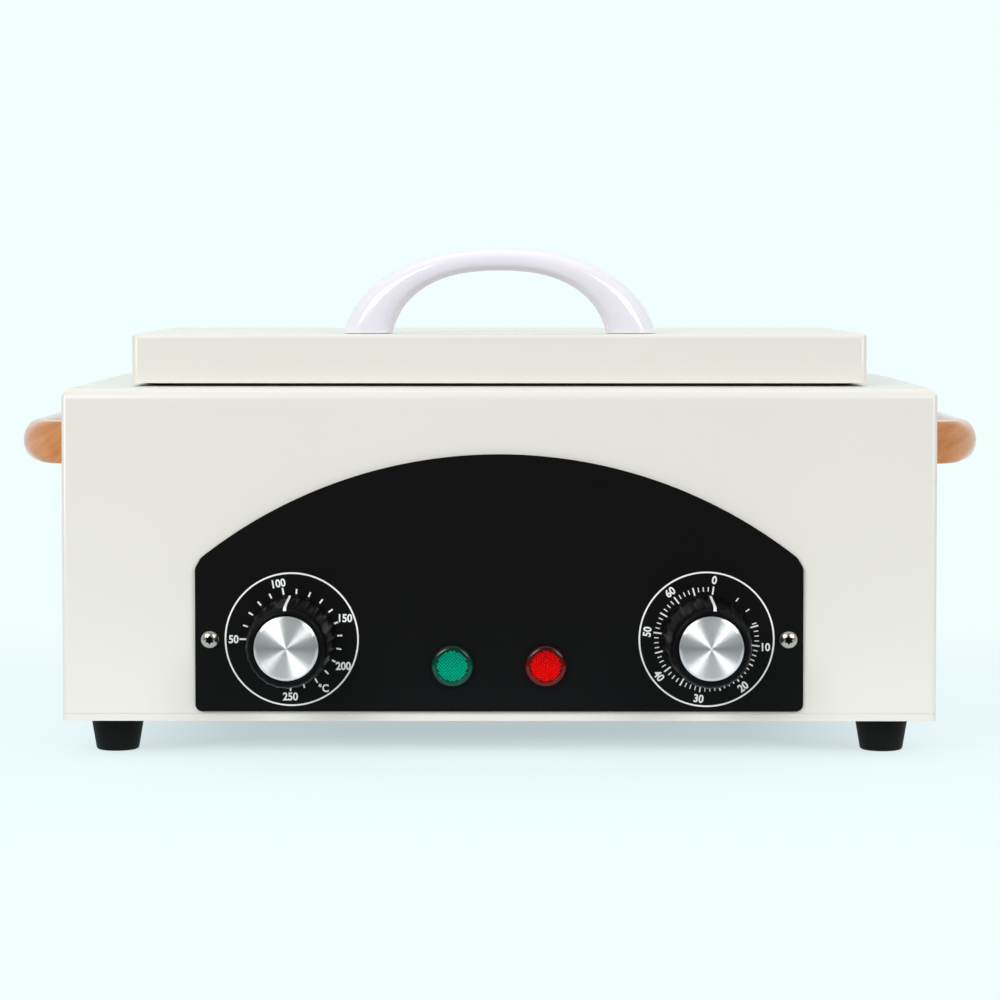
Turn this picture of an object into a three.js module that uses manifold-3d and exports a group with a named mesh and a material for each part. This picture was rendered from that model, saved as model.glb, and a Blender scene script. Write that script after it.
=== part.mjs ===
// Dry heat sterilizer: a painted steel cabinet on four feet, with a heated chamber under a hinged lid.
// Lengths are in millimetres. +Z is up, the dials face -Y, and the bench top is at Z 0.
import * as THREE from "three";
import { mergeVertices } from "three/addons/utils/BufferGeometryUtils.js";
import Module from "manifold-3d";

// Clearances that all pieces share
const seatGap = 0.2; // between two faces that are fastened to each other
const fitGap = 0.3; // all round a piece that passes through a hole or sits in a recess
const turnGap = 0.09; // radial clearance of a turning shaft or pin
const overrun = 6; // how far a cutter runs past the faces that it cuts
const weldDistance = 0.001; // points nearer than this are one point

// Cabinet
const cabinetWidth = 300;
const cabinetDepth = 165;
const cabinetHeight = 114.5;
const cabinetCornerRadius = 2.2;
const cabinetEdgeRadius = 4.5;
const sheet = 1;

// Cooling slots in the back of the cabinet
const ventCount = 10;
const ventWidth = 3;
const ventLength = 26;
const ventPitch = 8;
const ventX = -62;
const ventMargin = 1; // from the base plate's rim to the slots

// Base plate: a shallow pan that closes the cabinet from below
const baseRimHeight = 10;
const baseSlotCount = 9;
const baseSlotWidth = 4;
const baseSlotLength = 60;
const basePitch = 14;
const clinchNutRadius = 4;
const clinchNutHeight = 3;

// Feet
const footHeight = 12;
const footTopRadius = 9.3;
const footBottomRadius = 7.3;
const footRimRadius = 1;
const footSideMargin = 17;
const footEndMargin = 17.5;
const footRecessMargin = 0.6; // round the screw's head
const footRecessDepth = 6;
const footScrew = {
  headRadius: 4,
  headHeight: 2.6,
  shankRadius: 2,
  shankLength: 12,
  socketRadius: 1.5,
};

// Control panel: a thin plate with an arched top
const panelWidth = 208.3;
const panelThickness = 1.2;
const panelBottomMargin = 3.4; // from the cabinet's bottom edge
const panelShoulderRise = 54.6; // from the cabinet's bottom edge to the end of the straight sides
const panelTopMargin = 22.8; // from the arch's top to the cabinet's top face
const panelCornerRadius = 2.4;
const panelShoulderRadius = 2;
const panelArchSteps = 20;
const panelScrewMargin = 5.15; // from the panel's side edge
const panelScrewRise = 28.2;
const panelScrew = {
  headRadius: 3.25,
  headHeight: 2.2,
  shankRadius: 1.75,
  shankLength: 9,
  socketRadius: 1.2,
};

// Dials: thermostat on the left, timer on the right
const dialMargin = 5.25; // from a panel screw to the timer's plate
const dialClearance = 1.3; // from the base plate's rim to the dials' bodies
const shaftRadius = 3;
const shaftInBody = 6;
const bushRadius = 4.7;
const bushProud = 1; // how far the bush stands out of its nut
const nutRadius = 7.6;
const nutThickness = 2.6;
const thermostatSize = 34;
const thermostatDepth = 24;
const timerRadius = 17;
const timerDepth = 26;
const timerPlateWidth = 42;
const timerPlateHeight = 30;
const timerPlateThickness = 1.6;
const terminalWidth = 6.3;
const terminalThickness = 0.8;
const terminalLength = 6;
const terminalX = 9;

// Knobs
const knobProud = 29.5; // from the panel's face to the front of the metal cap
const knobClearance = 0.6;
const knobFrontRadius = 13.8;
const knobBackRadius = 15.1;
const knobChamfer = 0.7;
const knobFluteCount = 24;
const knobFluteDepth = 0.5;
const knobHollowRadius = 9.5;
const knobHollowDepth = 6;
const knobWall = 3; // between the shaft's end and the cap
const knobCapRadius = 10.85;
const knobCapThickness = 1.4;
const knobCapProud = 0.5;

// Pilot lamps
const lampX = 16;
const lampClearance = 1.3; // from the base plate's rim to the lamps' clips
const lampLensRadius = 7.15;
const lampLensProud = 2.8;
const lampLensChamfer = 1;
const lampStemRadius = 4.8;
const lampStemLength = 9;
const lampHolderLength = 24;
const lampHolderWall = 0.7;
const lampClipRadius = 8;
const lampClipThickness = 1.6;

// Power inlet at the back
const inletX = 100;
const inletClearance = 3; // from the base plate's rim to the inlet's body
const inletFlangeWidth = 50;
const inletFlangeHeight = 27;
const inletFlangeThickness = 2.5;
const inletCornerRadius = 4;
const inletBodyWidth = 27.6;
const inletBodyHeight = 20;
const inletBodyDepth = 21;
const inletSocketWidth = 24.6;
const inletSocketHeight = 16.4;
const inletSocketDepth = 16;
const inletSocketRadius = 3;
const pinWidth = 2;
const pinHeight = 4;
const pinLength = 14;
const pinSpread = 7;
const pinOffset = 2;
const inletScrewX = 20;
const inletScrew = {
  headRadius: 3.2,
  headHeight: 1.8,
  shankRadius: 1.6,
  shankLength: 8,
  socketRadius: 1,
};

// Side handles: wooden bows
const sideHandleLength = 120;
const sideHandleReach = 20;
const sideHandleThickness = 11;
const sideHandleHeight = 14.8;
const sideHandleFoot = 15;
const sideHandleDrop = 20.2; // from the cabinet's top face to the handle's centre line
const sideHandleOuterRadius = 25;
const sideHandleGapMargin = 1.5; // straight part of the gap behind the grip, before its corners
const sideHandleCore = 3; // flat strip between the grip's rounded edges
const sideHandleScrew = {
  headRadius: 4,
  headHeight: 2.4,
  shankRadius: 2,
  shankLength: 7.5,
  socketRadius: 1.4,
};

// Chamber: a drawn tub that hangs by its flange in the cabinet's top
const sideBay = 39; // from the cabinet's side to the chamber
const frontBay = 27.5; // from the cabinet's front or back to the chamber
const bayClearance = 1.2; // from the dials' bodies to the insulation
const chamberCornerRadius = 10;
const tubWall = 0.8;

// Heater under the tub, and its clamp
const heaterRadius = 3.25;
const heaterHalfSpan = 25;
const heaterEndMargin = 16; // from the tub's end walls to the heater
const heaterBendRadius = 9;
const heaterTailLength = 13;
const heaterSides = 8;
const heaterSteps = 56;
const clampWidth = 14;
const clampThickness = 1.2;
const clampMargin = 4;

// Insulation
const insulationWall = 12;
const insulationFloor = 7.6;
const insulationGap = 0.5;

// Thermostat bulb on the tub's front wall, with its capillary tube and clip
const bulbRadius = 3;
const bulbLength = 70;
const bulbDrop = 31; // from the cabinet's top face
const capillaryRadius = 1;
const capillarySides = 8;
const capillarySteps = 24;
const clipWidth = 9;
const clipThickness = 0.8;
const pocketMargin = 3;
const capillaryCutWidth = 26;

// Instrument tray
const trayGap = 4;
const trayRimDrop = 28; // from the chamber's rim to the tray's rim
const trayWall = 0.8;
const traySlotCount = 9;
const traySlotWidth = 6;
const traySlotEndMargin = 14;
const traySlotBridge = 10;
const trayTabWidth = 44;
const trayTabRise = 8;

// Lid
const lidSideMargin = 23;
const lidEndMargin = 12;
const lidHeight = 17;
const lidGap = 1.1;
const lidCornerRadius = 2.2;
const lidEdgeRadius = 1.6;
const linerRecess = 2.2;
const linerWall = 0.8;
const linerRimHeight = 8;
const sealInset = 3.2;
const sealWidth = 5;

// Lid handle: a plastic bow whose edges follow two superellipses
const bowSetback = 3.5; // from the lid's front face
const bowDepth = 18;
const bowRise = 29.8;
const bowCrownThickness = 8;
const bowHalfWidth = 55.8;
const bowSink = 10.3; // how far its centre lies under the lid's top face
const bowPower = 2.2;
const gripHalfWidth = 38;
const gripSink = 8.5;
const gripPower = 2.4;
const bowSteps = 16;
const bowEdgeRadius = 3.2;
const bowScrewX = 46;
const bowScrew = {
  headRadius: 4,
  headHeight: 2.4,
  shankRadius: 2,
  shankLength: 12,
  socketRadius: 1.4,
};

// Hinges: the leaf on the cabinet bends over its rear edge
const hingeX = 85;
const hingeWidth = 30;
const knuckleRadius = 2.2;
const knuckleWidth = 10;
const hingePinRadius = 1.2;
const leafThickness = 1;
const lidLeafRise = 11;
const bodyLeafDrop = 18;
const rivetRadius = 2.2;
const rivetHeight = 0.8;
const rivetX = 9;
const lidRivetRise = 7.8;
const bodyRivetDrop = 12;

// Leads inside the control bay
const leadRadius = 1.3;
const leadSides = 8;
const leadSteps = 16;

// Numbers of flat faces on round pieces, and of steps on an arc
const turnedSides = 16;
const screwSides = 8;
const hexSides = 6;
const arcSteps = 2;
const bevelSteps = 2;

// Levels and faces that follow from the sizes above
const cabinetBottom = footHeight;
const cabinetTop = cabinetBottom + cabinetHeight;
const frontFace = -cabinetDepth / 2;
const backFace = cabinetDepth / 2;
const baseRimTop = cabinetBottom + baseRimHeight;
const ventBottom = baseRimTop + ventMargin;
const panelFace = frontFace - seatGap - panelThickness;
const wallInside = frontFace + sheet;
const footRecessRadius = footScrew.headRadius + footRecessMargin;
const panelScrewX = panelWidth / 2 - panelScrewMargin;
const panelScrewZ = cabinetBottom + panelScrewRise;
const dialBodyRadius = Math.max(thermostatSize / 2, timerRadius);
const dialX = panelScrewX - panelScrew.shankRadius - dialMargin - timerPlateWidth / 2;
const dialZ = baseRimTop + dialClearance + dialBodyRadius;
const lampZ = baseRimTop + lampClearance + lampClipRadius;
const lampHolderRadius = lampStemRadius + fitGap + lampHolderWall;
const inletZ = baseRimTop + inletClearance + inletBodyHeight / 2;
const sideHandleZ = cabinetTop - sideHandleDrop;
const sideHandleInnerReach = sideHandleReach - sideHandleThickness;
const sideHandleInnerRadius = sideHandleInnerReach - sideHandleGapMargin;
const sideHandleEdgeRadius = (sideHandleThickness - sideHandleCore) / 2;
const sideHandleScrewY = sideHandleLength / 2 - sideHandleFoot / 2;
const chamberWidth = cabinetWidth - 2 * sideBay;
const chamberDepth = cabinetDepth - 2 * frontBay;
const rimZ = cabinetTop + seatGap + tubWall;
const insulationBottom = dialZ + dialBodyRadius + bayClearance;
const clampZ = insulationBottom + insulationFloor + fitGap;
const heaterZ = clampZ + clampThickness + fitGap + heaterRadius;
const tubBottom = heaterZ + heaterRadius + fitGap;
const chamberFloor = tubBottom + tubWall;
const lidWidth = cabinetWidth - 2 * lidSideMargin;
const lidDepth = cabinetDepth - 2 * lidEndMargin;
const lidBottom = cabinetTop + lidGap;
const lidTop = lidBottom + lidHeight;
const linerBottom = lidBottom + linerRecess;
const hingeSetback = knuckleRadius + 2 * fitGap;
const hingeRise = knuckleRadius + fitGap;
const hingeY = lidDepth / 2 + hingeSetback;
const hingeZ = cabinetTop + hingeRise;
const bowY = bowSetback + bowDepth / 2 - lidDepth / 2;
const frontReach = knobProud - panelFace;
const backReach = backFace + 2 * seatGap + inletFlangeThickness + inletScrew.headHeight;

const wasm = await Module();
wasm.setup();

// A closed three.js mesh as a solid that can be joined and cut
function solidOf(geometry) {
  const bare = geometry.index ? geometry.toNonIndexed() : geometry.clone();
  bare.deleteAttribute("normal");
  bare.deleteAttribute("uv");
  const merged = mergeVertices(bare, weldDistance);
  const index = merged.index.array;
  const faces = [];
  for (let i = 0; i < index.length; i += 3) {
    const [a, b, c] = [index[i], index[i + 1], index[i + 2]];
    if (a !== b && b !== c && c !== a) faces.push(a, b, c);
  }
  const vertProperties = merged.attributes.position.array;
  const triVerts = new Uint32Array(faces);
  return new wasm.Manifold(new wasm.Mesh({ numProp: 3, vertProperties, triVerts }));
}

// A solid's faces as a three.js geometry
function geometryOf(solid) {
  const mesh = solid.getMesh();
  const geometry = new THREE.BufferGeometry();
  geometry.setAttribute("position", new THREE.BufferAttribute(mesh.vertProperties, mesh.numProp));
  geometry.setIndex(new THREE.BufferAttribute(mesh.triVerts, 1));
  const flat = geometry.toNonIndexed();
  flat.computeVertexNormals();
  return flat;
}

function cut(solid, cutters) {
  return cutters.reduce((rest, cutter) => rest.subtract(cutter), solid);
}

function join(solids) {
  return solids.reduce((whole, solid) => whole.add(solid));
}

function box(x0, x1, y0, y1, z0, z1) {
  const geometry = new THREE.BoxGeometry(x1 - x0, y1 - y0, z1 - z0);
  geometry.translate((x0 + x1) / 2, (y0 + y1) / 2, (z0 + z1) / 2);
  return solidOf(geometry);
}

// Round bars along each axis, from one end to the other
function barX(radius, x0, x1, y, z, sides) {
  const geometry = new THREE.CylinderGeometry(radius, radius, x1 - x0, sides);
  geometry.rotateZ(-Math.PI / 2);
  geometry.translate((x0 + x1) / 2, y, z);
  return solidOf(geometry);
}

function barY(radius, y0, y1, x, z, sides) {
  const geometry = new THREE.CylinderGeometry(radius, radius, y1 - y0, sides);
  geometry.translate(x, (y0 + y1) / 2, z);
  return solidOf(geometry);
}

function barZ(radius, z0, z1, x, y, sides) {
  const geometry = new THREE.CylinderGeometry(radius, radius, z1 - z0, sides);
  geometry.rotateX(Math.PI / 2);
  geometry.translate(x, y, (z0 + z1) / 2);
  return solidOf(geometry);
}

// Plates of a drawn outline: the outline is drawn in XY, in XZ or in YZ
function plateZ(outline, z0, z1) {
  const geometry = extruded(outline, z1 - z0);
  geometry.translate(0, 0, z0);
  return solidOf(geometry);
}

function plateY(outline, y0, y1) {
  const geometry = extruded(outline, y1 - y0);
  geometry.rotateX(Math.PI / 2);
  geometry.translate(0, y1, 0);
  return solidOf(geometry);
}

function plateX(outline, x0, x1) {
  const geometry = extruded(outline, x1 - x0);
  const turn = new THREE.Matrix4().makeBasis(
    new THREE.Vector3(0, 1, 0),
    new THREE.Vector3(0, 0, 1),
    new THREE.Vector3(1, 0, 0),
  );
  geometry.applyMatrix4(turn);
  geometry.translate(x0, 0, 0);
  return solidOf(geometry);
}

function extruded(outline, depth) {
  return new THREE.ExtrudeGeometry(outline, { depth, bevelEnabled: false, curveSegments: arcSteps });
}

// A plate whose long edges are rounded, drawn in XY and centred on Z 0
function roundedPlate(outline, thickness, radius) {
  const geometry = new THREE.ExtrudeGeometry(outline, {
    depth: thickness - 2 * radius,
    bevelThickness: radius,
    bevelSize: radius,
    bevelOffset: -radius,
    bevelSegments: bevelSteps,
    curveSegments: arcSteps,
  });
  geometry.translate(0, 0, radius - thickness / 2);
  return geometry;
}

// A solid turned about Y: the profile's points are radius and height, in anticlockwise order
function turned(profile, sides) {
  const points = profile.map(([radius, height]) => new THREE.Vector2(radius, height));
  return solidOf(new THREE.LatheGeometry(points, sides));
}

// A round tube along a curve
function tubeAlong(curve, radius, sides, steps) {
  const section = new THREE.Shape();
  for (let i = 0; i < sides; i += 1) {
    const angle = (2 * Math.PI * i) / sides;
    const x = radius * Math.cos(angle);
    const y = radius * Math.sin(angle);
    if (i === 0) section.moveTo(x, y);
    else section.lineTo(x, y);
  }
  section.closePath();
  return solidOf(new THREE.ExtrudeGeometry(section, { steps, bevelEnabled: false, extrudePath: curve }));
}

function roundedRectangle(width, height, radius, x = 0, y = 0) {
  const outline = new THREE.Shape();
  const right = x + width / 2 - radius;
  const left = x - width / 2 + radius;
  const top = y + height / 2 - radius;
  const bottom = y - height / 2 + radius;
  outline.absarc(right, bottom, radius, -Math.PI / 2, 0);
  outline.absarc(right, top, radius, 0, Math.PI / 2);
  outline.absarc(left, top, radius, Math.PI / 2, Math.PI);
  outline.absarc(left, bottom, radius, Math.PI, 1.5 * Math.PI);
  outline.closePath();
  return outline;
}

// A rectangle whose two top corners are rounded
function roundedTop(width, bottom, top, radius) {
  const outline = new THREE.Shape();
  const side = width / 2;
  outline.moveTo(-side, bottom);
  outline.lineTo(side, bottom);
  outline.absarc(side - radius, top - radius, radius, 0, Math.PI / 2);
  outline.absarc(radius - side, top - radius, radius, Math.PI / 2, Math.PI);
  outline.closePath();
  return outline;
}

// A box with one radius down its corners and another round its top edges
function foldedBox(width, depth, bottom, top, cornerRadius, edgeRadius) {
  const plan = plateZ(roundedRectangle(width, depth, cornerRadius), bottom, top);
  const front = plateY(roundedTop(width, bottom - overrun, top, edgeRadius), -depth, depth);
  const side = plateX(roundedTop(depth, bottom - overrun, top, edgeRadius), -width, width);
  return plan.intersect(front).intersect(side);
}

// The same place on the left and on the right
function bothSides(x) {
  return [-x, x];
}

// Materials
function metal(color, roughness) {
  return new THREE.MeshStandardMaterial({ color, roughness, metalness: 1 });
}

function nonMetal(color, roughness) {
  return new THREE.MeshStandardMaterial({ color, roughness, metalness: 0 });
}

function ivoryEnamel() {
  return nonMetal("#e7e6df", 0.35);
}

function blackPanelPlate() {
  return nonMetal("#181818", 0.45);
}

function blackKnobPlastic() {
  return nonMetal("#1c1c1c", 0.35);
}

function spunAluminium() {
  return metal("#c9c9c9", 0.3);
}

function whiteHandlePlastic() {
  return nonMetal("#f2f1f5", 0.2);
}

function lacqueredWood() {
  return nonMetal("#c98652", 0.3);
}

function blackRubber() {
  return nonMetal("#1b1b1b", 0.7);
}

function stainlessSteel() {
  return metal("#c4c6c8", 0.3);
}

function zincPlatedSteel() {
  return metal("#b9bcbe", 0.4);
}

function greenLens() {
  return nonMetal("#00957a", 0.2);
}

function redLens() {
  return nonMetal("#d01414", 0.2);
}

function darkPlastic() {
  return nonMetal("#202124", 0.5);
}

function siliconeSeal() {
  return nonMetal("#151515", 0.6);
}

function fibreBoard() {
  return nonMetal("#d8d2c2", 0.95);
}

function leadSleeve() {
  return nonMetal("#e9e4d4", 0.8);
}

// Cabinet shell: one folded sheet, open below, with holes for all that passes through it
function cabinetShell() {
  const outside = foldedBox(
    cabinetWidth,
    cabinetDepth,
    cabinetBottom,
    cabinetTop,
    cabinetCornerRadius,
    cabinetEdgeRadius,
  );
  const inside = foldedBox(
    cabinetWidth - 2 * sheet,
    cabinetDepth - 2 * sheet,
    cabinetBottom - overrun,
    cabinetTop - sheet,
    cabinetCornerRadius - sheet,
    cabinetEdgeRadius - sheet,
  );
  const cutters = [inside, tubWell(fitGap, cabinetTop - sheet - overrun, cabinetTop + overrun)];
  cutters.push(...panelHoles(frontFace - overrun, wallInside + overrun));
  cutters.push(...sideHandleHoles(), ...backOpenings());
  return cut(outside, cutters);
}

// The space that the tub's walls take, grown by a gap
function tubWell(gap, bottom, top) {
  const grow = 2 * (tubWall + gap);
  const radius = chamberCornerRadius + tubWall + gap;
  return plateZ(roundedRectangle(chamberWidth + grow, chamberDepth + grow, radius), bottom, top);
}

// Holes for the bushes, lamps and screws, which pass through both the panel and the cabinet's front
function panelHoles(y0, y1) {
  const bushes = bothSides(dialX).map((x) => barY(bushRadius + fitGap, y0, y1, x, dialZ, turnedSides));
  const lamps = bothSides(lampX).map((x) => barY(lampHolderRadius + fitGap, y0, y1, x, lampZ, turnedSides));
  const screws = bothSides(panelScrewX).map((x) =>
    barY(panelScrew.shankRadius + fitGap, y0, y1, x, panelScrewZ, screwSides),
  );
  return [...bushes, ...lamps, ...screws];
}

function sideHandleHoles() {
  const reach = cabinetWidth / 2 + overrun;
  const radius = sideHandleScrew.shankRadius + fitGap;
  return bothSides(sideHandleScrewY).map((y) => barX(radius, -reach, reach, y, sideHandleZ, screwSides));
}

function backOpenings() {
  const y0 = backFace - sheet - overrun;
  const y1 = backFace + overrun;
  const bodyWidth = inletBodyWidth + 2 * fitGap;
  const bodyHeight = inletBodyHeight + 2 * fitGap;
  const body = roundedRectangle(bodyWidth, bodyHeight, inletSocketRadius, inletX, inletZ);
  const openings = [plateY(body, y0, y1)];
  for (const x of bothSides(inletScrewX)) {
    openings.push(barY(inletScrew.shankRadius + fitGap, y0, y1, inletX + x, inletZ, screwSides));
  }
  for (let i = 0; i < ventCount; i += 1) {
    const x = ventX + (i - (ventCount - 1) / 2) * ventPitch;
    openings.push(box(x - ventWidth / 2, x + ventWidth / 2, y0, y1, ventBottom, ventBottom + ventLength));
  }
  return openings;
}

// Base plate: a pan with an upturned rim, two rows of slots and a clinched nut over each foot
function basePlate() {
  const width = cabinetWidth - 2 * (sheet + fitGap);
  const depth = cabinetDepth - 2 * (sheet + fitGap);
  const radius = cabinetCornerRadius - sheet - fitGap;
  const floor = cabinetBottom + sheet;
  const pan = plateZ(roundedRectangle(width, depth, radius), cabinetBottom, baseRimTop);
  const hollow = box(
    sheet - width / 2,
    width / 2 - sheet,
    sheet - depth / 2,
    depth / 2 - sheet,
    floor,
    floor + baseRimHeight,
  );
  const nuts = footPlaces().map(({ x, y }) =>
    barZ(clinchNutRadius, floor - sheet / 2, floor + clinchNutHeight, x, y, screwSides),
  );
  const holes = footPlaces().map(({ x, y }) =>
    barZ(footScrew.shankRadius + fitGap, cabinetBottom - overrun, floor + overrun, x, y, screwSides),
  );
  return cut(join([cut(pan, [hollow]), ...nuts]), [...holes, ...baseSlots()]);
}

function baseSlots() {
  const slots = [];
  for (let i = 0; i < baseSlotCount; i += 1) {
    const x = (i - (baseSlotCount - 1) / 2) * basePitch;
    const left = x - baseSlotWidth / 2;
    const right = x + baseSlotWidth / 2;
    const half = baseSlotLength / 2;
    slots.push(box(left, right, -half, half, cabinetBottom - overrun, cabinetBottom + overrun));
  }
  return slots;
}

// The four corners where the feet stand
function footPlaces() {
  const x = cabinetWidth / 2 - footSideMargin;
  const y = cabinetDepth / 2 - footEndMargin;
  return [
    { corner: "front_left", x: -x, y: -y },
    { corner: "front_right", x, y: -y },
    { corner: "rear_left", x: -x, y },
    { corner: "rear_right", x, y },
  ];
}

// Foot: a tapered bush with a rounded lower rim and a recess for its screw's head
function foot() {
  const top = footHeight - seatGap;
  const bore = footScrew.shankRadius + fitGap;
  const profile = [
    [bore, footRecessDepth],
    [footRecessRadius, footRecessDepth],
    [footRecessRadius, 0],
    [footBottomRadius - footRimRadius, 0],
    [footBottomRadius, footRimRadius],
    [footTopRadius, top],
    [bore, top],
    [bore, footRecessDepth],
  ];
  const solid = turned(profile, turnedSides);
  return turnedUp(solid);
}

// Turns a solid made about Y so that its +Y points to +Z
function turnedUp(solid) {
  const geometry = geometryOf(solid);
  geometry.rotateX(Math.PI / 2);
  return solidOf(geometry);
}

// Screw along +Z: the head's seat is at Z 0 and its face below, with a six-sided socket in it
function screw({ headRadius, headHeight, shankRadius, shankLength, socketRadius }) {
  const profile = [
    [0, -headHeight],
    [headRadius / 2, -headHeight],
    [headRadius, -headHeight / 2],
    [headRadius, 0],
    [shankRadius, 0],
    [shankRadius, shankLength],
    [0, shankLength],
  ];
  const body = turnedUp(turned(profile, screwSides));
  const socket = barZ(socketRadius, -headHeight - overrun, -headHeight / 2, 0, 0, hexSides);
  return cut(body, [socket]);
}

// The radius of the arc over a chord
function archRadius(chord, rise) {
  return (chord * chord) / (8 * rise) + rise / 2;
}

// Control panel: straight sides, rounded corners and a circular arch across the top
function panelOutline() {
  const side = panelWidth / 2;
  const bottom = cabinetBottom + panelBottomMargin;
  const shoulder = cabinetBottom + panelShoulderRise;
  const peak = cabinetTop - panelTopMargin;
  const radius = archRadius(panelWidth, peak - shoulder);
  const centre = peak - radius;
  const reach = Math.asin((side - panelShoulderRadius) / radius);
  const corner = panelCornerRadius;
  const outline = new THREE.Shape();
  outline.absarc(side - corner, bottom + corner, corner, -Math.PI / 2, 0);
  outline.lineTo(side, shoulder - panelShoulderRadius);
  outline.quadraticCurveTo(side, shoulder, radius * Math.sin(reach), centre + radius * Math.cos(reach));
  for (let i = 1; i <= panelArchSteps; i += 1) {
    const angle = reach - (2 * reach * i) / panelArchSteps;
    outline.lineTo(radius * Math.sin(angle), centre + radius * Math.cos(angle));
  }
  outline.quadraticCurveTo(-side, shoulder, -side, shoulder - panelShoulderRadius);
  outline.absarc(corner - side, bottom + corner, corner, Math.PI, 1.5 * Math.PI);
  outline.closePath();
  return outline;
}

function controlPanel() {
  const plate = plateY(panelOutline(), panelFace, frontFace - seatGap);
  return cut(plate, panelHoles(panelFace - overrun, frontFace + overrun));
}

// The bush and the bore that carry a dial's shaft, at X 0
function bush(bodyFront) {
  return barY(bushRadius, panelFace - nutThickness - bushProud, bodyFront + sheet, 0, 0, turnedSides);
}

function shaftBore(bodyFront) {
  const end = bodyFront + shaftInBody + fitGap;
  return barY(shaftRadius + turnGap, panelFace - overrun, end, 0, 0, turnedSides);
}

function terminals(back) {
  const half = terminalThickness / 2;
  return bothSides(terminalX).map((x) =>
    box(x - half, x + half, back - sheet, back + terminalLength, -terminalWidth / 2, terminalWidth / 2),
  );
}

function thermostatBody() {
  const front = wallInside + seatGap;
  const back = front + thermostatDepth;
  const half = thermostatSize / 2;
  const can = box(-half, half, front, back, -half, half);
  return cut(join([can, bush(front), ...terminals(back)]), [shaftBore(front)]);
}

function timerBody() {
  const front = wallInside + seatGap;
  const back = front + timerDepth;
  const width = timerPlateWidth / 2;
  const height = timerPlateHeight / 2;
  const plate = box(-width, width, front, front + timerPlateThickness, -height, height);
  const can = barY(timerRadius, front, back, 0, 0, turnedSides);
  return cut(join([can, plate, bush(front), ...terminals(back)]), [shaftBore(front)]);
}

function bushNut() {
  const back = panelFace - seatGap;
  const hexagon = barY(nutRadius, back - nutThickness, back, 0, 0, hexSides);
  const bore = barY(bushRadius + fitGap, back - nutThickness - overrun, back + overrun, 0, 0, turnedSides);
  return cut(hexagon, [bore]);
}

// Faces of the knob, its cap and the shaft, along Y
function knobFaces() {
  const capFront = panelFace - knobProud;
  const front = capFront + knobCapProud;
  const capBack = capFront + knobCapThickness;
  return { capFront, front, capBack, back: panelFace - knobClearance, shaftEnd: capBack + knobWall };
}

function dialShaft() {
  const { shaftEnd } = knobFaces();
  return barY(shaftRadius, shaftEnd, wallInside + seatGap + shaftInBody, 0, 0, turnedSides);
}

// Knob: a tapered body with flutes down its side, hollow behind and recessed for the cap
function knob() {
  const { front, capBack, back, shaftEnd } = knobFaces();
  const profile = [
    [0, front],
    [knobFrontRadius - knobChamfer, front],
    [knobFrontRadius, front + knobChamfer],
    [knobBackRadius, back],
    [0, back],
  ];
  const points = profile.map(([radius, height]) => new THREE.Vector2(radius, height));
  const sides = 2 * knobFluteCount;
  const geometry = new THREE.LatheGeometry(points, sides);
  const place = geometry.getAttribute("position");
  for (let i = 0; i < place.count; i += 1) {
    const radius = Math.hypot(place.getX(i), place.getZ(i));
    const step = Math.round((Math.atan2(place.getX(i), place.getZ(i)) * sides) / (2 * Math.PI));
    if (radius < knobCapRadius || step % 2 === 0) continue;
    const share = (radius - knobFluteDepth) / radius;
    place.setXYZ(i, place.getX(i) * share, place.getY(i), place.getZ(i) * share);
  }
  const capSeat = barY(knobCapRadius + fitGap, front - overrun, capBack + seatGap, 0, 0, turnedSides);
  const hollow = barY(knobHollowRadius, back - knobHollowDepth, back + overrun, 0, 0, turnedSides);
  const bore = barY(shaftRadius + seatGap, shaftEnd - seatGap, back, 0, 0, turnedSides);
  return cut(solidOf(geometry), [capSeat, hollow, bore]);
}

function knobCap() {
  const { capFront, capBack } = knobFaces();
  return barY(knobCapRadius, capFront, capBack, 0, 0, turnedSides);
}

// Lamp: a bevelled lens whose stem plugs into the holder
function lampLens() {
  const back = panelFace - seatGap;
  const front = panelFace - lampLensProud;
  const profile = [
    [0, front],
    [lampLensRadius - lampLensChamfer, front],
    [lampLensRadius, front + lampLensChamfer],
    [lampLensRadius, back],
    [lampStemRadius, back],
    [lampStemRadius, back + lampStemLength],
    [0, back + lampStemLength],
  ];
  return turned(profile, turnedSides);
}

function lampHolder() {
  const clipFront = wallInside + seatGap;
  const back = panelFace + lampHolderLength;
  const boreRadius = lampHolderRadius - lampHolderWall;
  const tube = barY(lampHolderRadius, panelFace, back, 0, 0, turnedSides);
  const clip = barY(lampClipRadius, clipFront, clipFront + lampClipThickness, 0, 0, turnedSides);
  const bore = barY(boreRadius, panelFace - overrun, back - lampStemLength, 0, 0, turnedSides);
  const across = lampHolderRadius / 2;
  const tabs = bothSides(across).map((x) => {
    const half = terminalThickness / 2;
    return box(x - half, x + half, back - sheet, back + terminalLength, -across, across);
  });
  return cut(join([tube, clip, ...tabs]), [bore]);
}

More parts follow.
